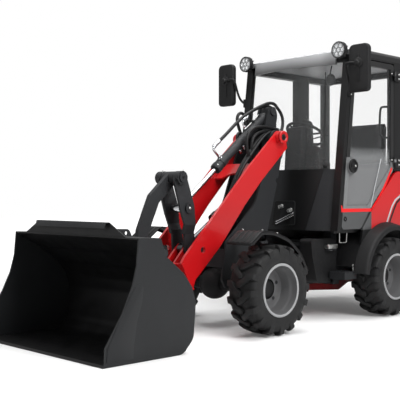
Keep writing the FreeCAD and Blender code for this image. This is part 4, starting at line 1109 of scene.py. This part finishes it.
# %% Steering wheel and dash
centre, axis = Vector((-0.875, 0, 1.640)), Vector((-0.5, 0, 0.866))
rim_radius = 0.182


def around(u, v, w):
    """A point in the steering wheel's own plane, put into the machine."""
    return centre + Vector((0.866, 0, 0.5)) * u + Vector((0, 1, 0)) * v + axis * w


def on_wheel(radius, turn, w):
    """The same from a distance to the centre and a turn."""
    return around(radius * math.cos(turn), radius * math.sin(turn), w)


ring = tube("wheel_rim", [on_wheel(rim_radius, math.tau * i / 36, 0) for i in range(37)], 0.0135,
            black_plastic, 3, 4)
knob_foot = around(-0.10, 0.152, 0)
parts = [ring, lathe("wheel_hub", [(-0.016, 0), (-0.016, 0.040), (0.010, 0.040), (0.017, 0.033), (0.019, 0)],
                     centre, centre + axis, black_plastic, 32),
         lathe("knob", [(0.013, 0), (0.013, 0.012), (0.030, 0.010), (0.036, 0.020), (0.062, 0.021),
                        (0.070, 0.014), (0.072, 0)], knob_foot, knob_foot + axis, black_plastic, 24),
         lathe("shaft", [(-0.175, 0), (-0.175, 0.022), (-0.016, 0.022), (-0.016, 0)], centre,
               centre + axis, steel, 24)]
for turn in map(math.radians, (90, 210, 330)):
    parts.append(tube("spoke", [on_wheel(0.02, turn, -0.004), on_wheel(0.09, turn, -0.010),
                                on_wheel(0.178, turn, 0)], 0.009, black_plastic, 3, 3))
pod = side_plate("pod", [(-0.700, 0.7855), (-0.665, 1.270, 0.06), (-0.690, 1.600, 0.04),
                         (-0.700, 1.690, 0.03), (-0.760, 1.700, 0.03), (-0.800, 1.590, 0.04),
                         (-0.830, 1.500, 0.06), (-0.800, 0.7855)], -0.090, 0.090, black_plastic, 0.012)
screen = slab("display", [(-0.065, -0.040, 0.006), (0.065, -0.040, 0.006), (0.065, 0.040, 0.006),
                          (-0.065, 0.040, 0.006)], (-0.003, 0, 0.001),
              lambda y, z: Vector((-0.783 - z * 0.33, y, 1.645 + z)), seal_rubber, 0.001)
levers = [tube("stalk", [(-0.800, s * 0.05, 1.560), (-0.830, s * 0.12, 1.590), (-0.840, s * 0.19, 1.600)],
               0.006, black_plastic, 3, 3)
          for s in (1, -1)]
pedals = [slab("pedal", [(-0.035, 0, 0.006), (0.035, 0, 0.006), (0.035, 0.11, 0.012), (-0.035, 0.11, 0.012)],
               (-0.010, 0, 0.006), lambda y, z, c=c: Vector((-0.690 - z * 0.5, c + y, 0.815 + z * 0.86)),
               black_plastic, 0.002) for c in (-0.19, 0.18)]
steering_set = together("steering_set", parts + [pod, screen] + levers + pedals)
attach(steering_set, "rear_frame")
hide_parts("steering_column")
print("steering set, faces:", len(steering_set.data.polygons))

# %% Console and joystick
low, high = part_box("console")
pad_thick = 0.035
console = [block("armrest_box", low, (high.x, high.y, high.z - pad_thick), black_plastic, 0.018),
           block("armrest_pad", (low.x + 0.02, low.y + 0.015, high.z - 0.036),
                 (low.x + (high.x - low.x) * 0.62, high.y - 0.015, high.z - 0.002), cloth, 0.014)]
base = Vector((high.x - 0.085, (low.y + high.y) / 2, high.z - pad_thick))
boot = [(0, 0.042), (0.006, 0.040), (0.012, 0.034), (0.018, 0.036), (0.024, 0.027), (0.030, 0.029),
        (0.038, 0.018), (0.050, 0.011), (0.050, 0)]
console.append(lathe("boot", boot, base, base + Vector((0, 0, 1)), hose_rubber, 28))
stick = [(0.048, 0.008), (0.075, 0.012), (0.090, 0.021), (0.115, 0.023), (0.150, 0.024), (0.166, 0.021),
         (0.172, 0.012), (0.173, 0)]
console.append(lathe("grip", [(0.048, 0), *stick], base, base + Vector((0.12, 0, 1)), black_plastic, 24))
console.append(lathe("trim", [(0.040, 0), (0.040, 0.0445), (0.046, 0.0445), (0.046, 0)],
                     base - Vector((0, 0, 0.042)), base + Vector((0, 0, 1)), stripe_red, 28))
for dx, dy in ((-0.06, 0.02), (-0.06, -0.02), (-0.09, 0.02), (-0.09, -0.02)):
    at = base + Vector((dx, dy, 0))
    console.append(block("switch", at + Vector((-0.009, -0.007, -0.002)), at + Vector((0.009, 0.007, 0.006)),
                         seal_rubber, 0.002))
console = together("driver_console", console)
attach(console, "rear_frame")
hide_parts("console")
print("console at", low, high)

# %% [markdown]
# ## Roof
# The roof shell is ribbed along the machine where it rises over the cab's nose. A rib
# is a thin plate whose foot is let into the shell. Rays cast down on the roof give
# the line of the plate, and points that miss the shell are left out.

# %% Roof ribs and trim
roof_tree = BVHTree.FromObject(nodes["roof"], bpy.context.evaluated_depsgraph_get())
to_roof = nodes["roof"].matrix_world


def on_roof(x, y):
    """Height of the roof's skin over a point."""
    inside = to_roof.inverted()
    hit = roof_tree.ray_cast(inside @ Vector((x, y, 3)), inside.to_3x3() @ Vector((0, 0, -1)))
    return (to_roof @ hit[0]).z if hit[0] else None


first_rib, rib_pitch, rib_half, highest = -0.44, 0.11, 0.016, 2.3885
ribs = []
for i in range(9):
    y = first_rib + i * rib_pitch
    crest = [(x, on_roof(x, y)) for x in [-0.72 - k * 0.06 for k in range(9)]]
    crest = [(x, z) for x, z in crest if z]
    if len(crest) < 4:
        continue
    top = [(x, min(z + 0.0045, highest)) for x, z in crest]
    ribs.append(side_plate("rib", top + [(x, z - 0.004) for x, z in reversed(crest)], y - rib_half,
                           y + rib_half, roof_silver, 0.0015))
ribs = together("roof_ribs", ribs)
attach(ribs, "rear_frame")
print("roof ribs, faces:", len(ribs.data.polygons))

# %% [markdown]
# ## Linkage
# The pins end in caps and bolt heads, with grease nipples beside them. The tilt
# cylinder has a sleeve with set screws on its gland, a wiper, two ports with elbows
# and a hard line that is clamped along the barrel.

# %% Pins, keepers and nipples
def nipple(place, towards):
    """A grease nipple: hexagon foot and a small round head."""
    place, towards = Vector(place), Vector(towards).normalized()
    return together("nipple", [hexagon(place, towards, 0.012, 0.005, steel),
                               lathe("head", [(0.004, 0), (0.004, 0.004), (0.010, 0.004), (0.012, 0.003),
                                              (0.015, 0.0038), (0.017, 0)], place, place + towards,
                                     steel, 12)])


pivot_x, pivot_z = -0.242, 1.565
anchor, tip = Vector((-0.340, 0, 1.800)), Vector((0.700, 0, 0.972))
boss = []
for s in (1, -1):
    hub = Vector((pivot_x, s * 0.2700, pivot_z))
    out = Vector((0, s, 0))
    boss += [lathe("boss_cap", [(-0.006, 0.026), (-0.006, 0.0535), (0.004, 0.0535), (0.008, 0.0500),
                                (0.008, 0.034), (0.004, 0.029), (0.001, 0.026)], hub, hub + out, red,
                   48, closed=True),
             lathe("pin_end", [(0, 0), (0, 0.026), (0.003, 0.026), (0.005, 0.023), (0.005, 0)], hub,
                   hub + out, cast_iron, 32),
             hexagon(hub + out * 0.004, out, 0.024, 0.012, cast_iron)]
boss = together("boom_pin_caps", boss)
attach(boss, "front_frame")
grease = together("grease_points", [nipple((pivot_x + 0.0205, s * 0.246, pivot_z + 0.0505), (0.38, 0, 0.92))
                                    for s in (1, -1)])
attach(grease, "boom")
keepers = []
for s in (1, -1):
    keepers += [dome((tip.x, s * 0.121, tip.z), (0, s, 0), 0.012, 0.007, steel),
                hexagon((tip.x, s * 0.121, 0.995), (0, s, 0), 0.014, 0.008, cast_iron),
                nipple((0.7755, s * 0.120, 1.2575), (-0.3, 0, 1)),
                hexagon((0.790, s * 0.147, 1.210), (0, s, 0), 0.022, 0.010, cast_iron)]
keepers = together("lever_keepers", keepers)
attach(keepers, "lever")
print("pins dressed")

# %% Tilt cylinder
along = (tip - anchor).normalized()
above = Vector((-along.z, 0, along.x))


def on_barrel(distance, height, y=0.0):
    """A point beside the cylinder: so far along it, above it and to the left."""
    return anchor + along * distance + above * height + Vector((0, y, 0))


parts = [lathe("gland_ring", [(0.744, 0.038), (0.754, 0.038), (0.755, 0.0435), (0.780, 0.0435),
                              (0.782, 0.0465), (0.816, 0.0465), (0.820, 0.0440), (0.8235, 0.0440),
                              (0.8235, 0.020), (0.744, 0.020)], anchor, tip, linkage_grey, 48, closed=True),
         lathe("wiper", [(0.8235, 0.0196), (0.8235, 0.030), (0.827, 0.027), (0.828, 0.0196)], anchor, tip,
               seal_rubber, 32, closed=True)]
sleeve_radius = 0.0465
for k in range(4):
    up, out = math.sin(math.radians(45 + 90 * k)), math.cos(math.radians(45 + 90 * k))
    screw = on_barrel(0.80, sleeve_radius * up, sleeve_radius * out)
    parts.append(dome(screw, above * up + Vector((0, out, 0)), 0.006, 0.002, steel))
for end in (0.112, 0.725):
    port = on_barrel(end, 0.037)
    parts.append(lathe("port", [(0, 0.015), (0.012, 0.015), (0.014, 0.013), (0.014, 0)], port, port + above,
                       linkage_grey, 24))
elbow = [on_barrel(0.725, 0.050), on_barrel(0.738, 0.100, 0.006), on_barrel(0.750, 0.138, 0.012),
         on_barrel(0.746, 0.158, 0.014), on_barrel(0.720, 0.163, 0.014)]
crimp = on_barrel(0.722, 0.163, 0.014), on_barrel(0.670, 0.163, 0.014)
parts += [tube("elbow_front", elbow, 0.0095, chrome, 3, 4),
          hexagon(on_barrel(0.725, 0.051), above, 0.028, 0.016, chrome),
          lathe("crimp_front", [(0, 0.0165), (0.042, 0.0165), (0.044, 0.0150), (0.044, 0)], *crimp,
                chrome, 24),
          lathe("nut_front", [(-0.014, 0.0105), (-0.014, 0.018), (0.002, 0.018), (0.002, 0.0105)], *crimp,
                chrome, 6, 20, closed=True)]
elbow = [on_barrel(0.300, 0.045, -0.022), on_barrel(0.300, 0.092, -0.022), on_barrel(0.292, 0.104, -0.022),
         on_barrel(0.270, 0.108, -0.021)]
parts += [tube("elbow_back", elbow, 0.0085, chrome, 3, 4),
          hexagon(on_barrel(0.300, 0.052, -0.022), above, 0.024, 0.014, chrome),
          lathe("crimp_back", [(0, 0.0165), (0.040, 0.0165), (0.042, 0.0150), (0.042, 0)],
                on_barrel(0.272, 0.108, -0.021), on_barrel(0.236, 0.106, -0.020), chrome, 24)]
line = [on_barrel(0.300, 0.046, -0.022), on_barrel(0.295, 0.0445, -0.018), on_barrel(0.270, 0.0455, -0.006),
        on_barrel(0.160, 0.0455, -0.002), on_barrel(0.112, 0.052, 0)]
parts.append(tube("hard_line", line, 0.0055, steel, 3, 3))
clamp = block("line_clamp", (-0.012, -0.014, -0.008), (0.012, 0.010, 0.010), black_plastic, 0.002)
clamp.rotation_euler = along.to_track_quat("X", "Z").to_euler()
clamp.location = on_barrel(0.205, 0.0455, 0)
parts.append(finished("line_clamp"))
cylinder = together("tilt_cylinder_fittings", parts)
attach(cylinder, "tilt_barrel")
print("cylinder fittings, faces:", len(cylinder.data.polygons))

# %% [markdown]
# ## Hoses
# Each hose is drawn as a smooth line through a few points and ends in crimped sleeves.
# The parts along the tilt cylinder ride on its barrel; the loops behind the tower stay
# with the front frame, and the pair to the tool circuit runs down inside the boom.

# %% Hoses
def hose(points, radius=0.0138, ends=(True, True)):
    """A rubber hose with a crimped sleeve at each end that is seen."""
    made = [tube("hose", points, radius, hose_rubber, 4, 4)]
    for wanted, end, inner in ((ends[0], points[0], points[1]), (ends[1], points[-1], points[-2])):
        if wanted:
            made.append(lathe("sleeve", [(0, radius), (0, radius + 0.003), (0.030, radius + 0.003),
                                         (0.034, radius)], end, inner, chrome, 20, closed=True))
    return made


arch = hose([on_barrel(0.682, 0.163, 0.014), on_barrel(0.630, 0.162, 0.016), on_barrel(0.520, 0.160, 0.018),
             (0.065, 0.020, 1.690), (-0.040, 0.022, 1.758), (-0.150, 0.024, 1.812), (-0.270, 0.024, 1.862),
             (-0.350, 0.024, 1.885), (-0.405, 0.024, 1.880), (-0.432, 0.024, 1.858)], ends=(True, False))
arch += hose([on_barrel(0.236, 0.107, -0.020), (-0.120, -0.018, 1.785), (-0.205, -0.016, 1.820),
              (-0.300, -0.014, 1.856), (-0.375, -0.012, 1.862), (-0.425, -0.012, 1.836)], ends=(True, False))
arch = together("tilt_hoses", arch)
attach(arch, "tilt_barrel")

loops = hose([(-0.438, 0.024, 1.850), (-0.474, 0.026, 1.822), (-0.502, 0.034, 1.775), (-0.500, 0.042, 1.715),
              (-0.468, 0.060, 1.655), (-0.405, 0.085, 1.600), (-0.360, 0.100, 1.520), (-0.352, 0.105, 1.440)],
             ends=(False, True))
loops += hose([(-0.438, -0.012, 1.846), (-0.470, -0.016, 1.806), (-0.486, -0.030, 1.750),
               (-0.480, -0.050, 1.690), (-0.440, -0.080, 1.630), (-0.385, -0.105, 1.560),
               (-0.355, -0.120, 1.460)], ends=(False, True))
loops += hose([(-0.362, 0.125, 1.400), (-0.425, 0.125, 1.500), (-0.440, 0.120, 1.580), (-0.395, 0.114, 1.636),
               (-0.300, 0.108, 1.652), (-0.190, 0.104, 1.662), (-0.090, 0.100, 1.655), (-0.010, 0.098, 1.622),
               (0.030, 0.097, 1.555), (0.030, 0.097, 1.470), (-0.010, 0.098, 1.370), (-0.075, 0.100, 1.280)])
loops += hose([(-0.372, 0.085, 1.420), (-0.430, 0.088, 1.530), (-0.425, 0.090, 1.600), (-0.360, 0.088, 1.630),
               (-0.260, 0.084, 1.632), (-0.150, 0.080, 1.615), (-0.070, 0.078, 1.570), (-0.045, 0.076, 1.490),
               (-0.065, 0.076, 1.400), (-0.120, 0.078, 1.300)])
loops += hose([(-0.200, -0.140, 1.480), (-0.160, -0.142, 1.600), (-0.110, -0.144, 1.690),
               (-0.105, -0.146, 1.760), (-0.150, -0.148, 1.800), (-0.205, -0.146, 1.785),
               (-0.250, -0.140, 1.700), (-0.270, -0.135, 1.600)])
loops += hose([(-0.120, -0.100, 1.440), (-0.070, -0.110, 1.540), (-0.078, -0.120, 1.600),
               (-0.125, -0.126, 1.625), (-0.175, -0.130, 1.600), (-0.205, -0.130, 1.520)])
loops = together("tower_hoses", loops)
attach(loops, "front_frame")

runs = []
for k in (0, 1):
    y = 0.068 + 0.030 * k
    runs += hose([(-0.240 - 0.02 * k, y + 0.01, 1.620), (-0.170, y + 0.01, 1.585),
                  (-0.050, y, 1.452 - 0.01 * k), (0.060, y, 1.335), (0.140, y, 1.215), (0.200, y, 1.100),
                  (0.262, y, 0.990), (0.345, y, 0.905), (0.440, y, 0.830)], 0.0135, (False, True))
runs = together("boom_hoses", runs)
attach(runs, "boom")
print("hoses made, faces:", sum(len(o.data.polygons) for o in (arch, loops, runs)))

# %% [markdown]
# ## Bucket
# A wear strip doubles the front edge of each side plate, the spill guard ends in a
# folded lip, and lifting eyes stand behind it. Inside, the paint is near-black as painted
# shade, which the material takes from the Object coordinate.

# %% Bucket fittings
bucket_paint = Finish("bucket_zones")
_, y, z = bucket_paint.axes()
half_inside, guard_height = 0.7325, 0.8835
# The inside, below the spill guard, is darkened to near-black: painted shade.
inner = (y * y).below(half_inside * half_inside) * z.below(guard_height)
worn = bucket_paint.noise(3.1, 5)
outside_tone = bucket_paint.mix(worn, srgb(29, 30, 31), srgb(38, 39, 41))
inside_painted_shade = bucket_paint.mix(worn, srgb(9, 9, 10), srgb(17, 17, 18))
bucket_paint.set(Base_Color=bucket_paint.mix(inner, outside_tone, inside_painted_shade), Specular_IOR_Level=dull_level)
bucket_paint.gloss(7, 0.38, 0.52)
bucket_paint.bump(bucket_paint.noise(190, 2), 0.14, 0.0006)

strip_line = [(1.758, 0.490, 0.010), (1.724, 0.503, 0.020), (1.691, 0.485, 0.030), (1.706, 0.380, 0.2),
              (1.748, 0.261, 0.3), (1.772, 0.120), (1.778, 0.030), (1.992, 0.030), (1.985, 0.115),
              (1.921, 0.224), (1.870, 0.315), (1.805, 0.421)]
strip_left = side_plate("wear_strip", strip_line, 0.7452, 0.7482, bucket_paint, 0.0012)
lip = [(1.7255, 0.8900), (1.7500, 0.8905), (1.7610, 0.8500), (1.7575, 0.8490), (1.7475, 0.8860),
       (1.7255, 0.8860)]
lip_half = 0.420
guard_lip = side_plate("guard_lip", lip, -lip_half, lip_half, bucket_grey, 0.0008)
eye = side_plate("lifting_eye", [(1.452, 0.780), (1.712, 0.795), (1.700, 0.830, 0.01), (1.618, 0.842, 0.02),
                                 (1.480, 0.838, 0.035)], 0.324, 0.336, bucket_grey, 0.0015)
fresh()
bpy.ops.mesh.primitive_cylinder_add(vertices=32, radius=0.014, depth=0.06, location=(1.505, 0.330, 0.810),
                                    rotation=(math.pi / 2, 0, 0))
carve(eye, bpy.context.object, "DIFFERENCE")
fittings = together("bucket_fittings", [strip_left, mirrored(strip_left, "strip_right"), guard_lip, eye,
                                        mirrored(eye, "eye_right")])
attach(fittings, "bucket")
print("bucket fittings, faces:", len(fittings.data.polygons))

# %% [markdown]
# ## Nose of the cab
# The nose panel carries painted shade in the middle and has an open recess with two
# hydraulic couplings and a pair of short pipes. The panel leans and is slightly arched, so
# a small function gives the point of its skin.

# %% Recess in the nose
def on_nose(y, z, out=0.0):
    """A point of the nose panel's skin, lifted off by a distance."""
    foot_x, foot_z, lean, arch_depth, half_width = -0.475, 0.77, 0.1167, 0.1, 0.525
    return Vector((foot_x - lean * (z - foot_z) - arch_depth * (y / half_width) ** 2 + out, y, z))


recess_line = [(-0.060, 0.798, 0.018), (0.185, 0.815, 0.018), (0.170, 1.021, 0.018), (-0.045, 1.020, 0.018)]
recess = slab("recess", recess_line, (0.003, 0, 0), lambda y, z: on_nose(y, z, 0.0005), hose_rubber, 0)
rim_points = [on_nose(y, z, 0.003) for y, z in rounded(recess_line)]
lip = tube("lip", rim_points + rim_points[:1], 0.004, black_plastic, 2, 2)
couplings = []
for at in (on_nose(0.035, 0.969, 0.003), on_nose(0.135, 0.937, 0.003)):
    couplings.append(hexagon(at, (1, 0, 0.1), 0.034, 0.016, steel, "coupling"))
    couplings.append(lathe("spout", [(0, 0.0135), (0.018, 0.0135), (0.020, 0.016), (0.030, 0.016),
                                     (0.033, 0.012), (0.033, 0)], at + Vector((0.006, 0, 0)),
                           at + Vector((1.0, 0, 0.1)), steel, 28))
pipes = [tube("pipe", [on_nose(-0.015, 0.821 + dz, 0.010), on_nose(0.040, 0.836 + dz, 0.018),
                       on_nose(0.120, 0.876 + dz, 0.018), on_nose(0.172, 0.902 + dz, 0.010)], 0.006, chrome,
              3, 3) for dz in (0, 0.020)]
plug = lathe("plug", [(0, 0.017), (0.003, 0.017), (0.005, 0.014), (0.005, 0.009), (0.002, 0.008), (0.002, 0)],
             on_nose(-0.095, 1.221), on_nose(-0.095, 1.221, 1.0), seal_rubber, 28)
nose = together("nose_fittings", [recess, lip, *couplings, *pipes, plug])
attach(nose, "rear_frame")
print("nose faces:", len(nose.data.polygons))

# %% [markdown]
# ## Inside the cab and below it
# A cowl stands behind the windscreen, in front of the steering column. A round
# inner mirror hangs from the roof, a grab rail stands at the rear pillar and the
# wiper rests along the left of the glass. Below the door are the battery switch
# box, a wire loop, and the step with its toothed tread and peg. Three plain fillers
# close the view under the cab: a gear casing, a floor channel and a web.

# %% Cab extras
cowl_line = [(-0.150, 1.302), (0.232, 1.302), (0.226, 1.501, 0.02), (0.130, 1.533, 0.03),
             (0.098, 1.737, 0.03), (0.045, 1.766, 0.03), (-0.021, 1.745, 0.03), (-0.075, 1.589, 0.03),
             (-0.140, 1.516, 0.03)]
cowl = slab("cowl", cowl_line, (-0.055, 0, 0), lambda y, z: Vector((-0.745 - 0.119 * (z - 1.3), y, z)),
            black_plastic, 0.008)
eye = Vector((-0.760, 0.373, 2.087))
inner_mirror = lathe("inner_mirror", [(0, 0), (0.001, 0.048), (0.004, 0.052), (0.014, 0.050), (0.020, 0.030),
                                      (0.022, 0)], eye, eye + Vector((1, 0, 0)), black_plastic, 40)
stem = tube("stem", [eye + Vector((0.015, 0, 0.02)), eye + Vector((0.010, 0, 0.07)),
                     eye + Vector((-0.010, 0, 0.125))], 0.006, black_plastic, 3, 3)
rail = tube("rail", [(-1.410, 0.53, 1.886), (-1.310, 0.53, 1.884), (-1.278, 0.53, 1.850),
                     (-1.272, 0.53, 1.646), (-1.300, 0.53, 1.606), (-1.410, 0.53, 1.602)], 0.010,
            black_plastic, 3, 4)
wiper = tube("wiper", [(-0.690, 0.366, 2.150), (-0.652, 0.392, 1.830), (-0.606, 0.418, 1.500),
                       (-0.586, 0.432, 1.330)], 0.0042, black_plastic, 2, 3)
pivot = lathe("pivot", [(0, 0.016), (0.022, 0.014), (0.026, 0.010), (0.026, 0)], (-0.606, 0.432, 1.325),
              (0.5, 0.432, 1.325), black_plastic, 24)
inside = together("cab_extras", [cowl, inner_mirror, stem, rail, wiper, pivot])
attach(inside, "rear_frame")

# %% Below the door
switch = [block("switch_box", (-0.735, 0.4195, 0.612), (-0.607, 0.468, 0.650), steel, 0.007),
          block("switch_foot", (-0.728, 0.4195, 0.598), (-0.612, 0.460, 0.6125), linkage_grey, 0.003),
          hexagon((-0.672, 0.442, 0.594), (0, 0, -1), 0.022, 0.012, steel),
          dome((-0.620, 0.452, 0.650), (0, 0, 1), 0.008, 0.005, steel)]
loop = tube("loop", [(-0.640, 0.555, 0.756), (-0.641, 0.555, 0.676), (-0.650, 0.555, 0.668),
                     (-0.730, 0.555, 0.668), (-0.738, 0.555, 0.676), (-0.745, 0.555, 0.756)], 0.004, steel,
            2, 3)
teeth = [(-0.655, 0.408), (-0.824, 0.408)]
for i in range(8):
    x = -0.823 + i * 0.021
    teeth += [(x, 0.4125), (x + 0.004, 0.421), (x + 0.012, 0.421), (x + 0.016, 0.4125)]
combs = [side_plate("comb", teeth, y - 0.003, y + 0.003, anthracite, 0) for y in (0.455, 0.525, 0.593)]
peg = lathe("peg", [(0, 0.006), (0.046, 0.006), (0.050, 0.009), (0.060, 0.009), (0.064, 0.005), (0.064, 0)],
            (-0.806, 0.575, 0.411), (-0.806, 0.575, 1.0), steel, 20)
treads = together("left_tread", [*combs, peg])
gearbox = block("gearbox", (-1.740, -0.270, 0.560), (-1.160, 0.170, 0.725), cast_iron, 0.02)
channel = block("channel", (-1.050, -0.420, 0.698), (-0.660, 0.050, 0.772), cab_black, 0.006)
web = block("web", (-0.045, -0.190, 0.585), (0.085, -0.178, 0.715), anthracite, 0.003)
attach(web, "front_frame")
below = (channel, together("switch", switch), loop, treads, mirrored(treads, "right_tread"), gearbox)
for piece in below:
    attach(piece, "rear_frame")
print("below the cab:", 1 + len(below), "pieces")

# %% [markdown]
# ## Finishes of the steel parts
# What is left is to give every CAD node its finish. A table from finish to nodes is
# easy to read and to change, and one loop applies it.

# %% Finishes of the steel parts
finishes = { red: ["boom"], lid_paint: ["hood"], cover_paint: ["side_covers"],
            linkage_grey: ["lever", "link", "link_pin", "hitch", "boom_pins", "tilt_barrel", "lift_barrel",
                           "front_pins"], bucket_paint: ["bucket"], chrome: ["tilt_rod", "tilt_piston"],
            rod_painted_shade: ["lift_rod"], cast_iron: ["front_axle", "rear_axle", "engine_block", "counterweight"],
            black_plastic: ["front_fenders", "rear_fenders", "side_tanks", "console", "steering_column",
                            "mirrors", "work_lamps", "seat"], cab_black: ["cab_frame"],
            nose_paint: ["cab_floor"], roof_paint: ["roof"], anthracite: ["front_panels", "front_frame",
                                                                          "steps"],
            chassis_paint: ["rear_frame"], door_paint: ["door"], clear_glass: ["glazing"],
            toned_glass: ["door_glass"], }
for finish, names in finishes.items():
    finish.on(*(nodes[name] for name in names))
print("finished parts:", sum(len(names) for names in finishes.values()))
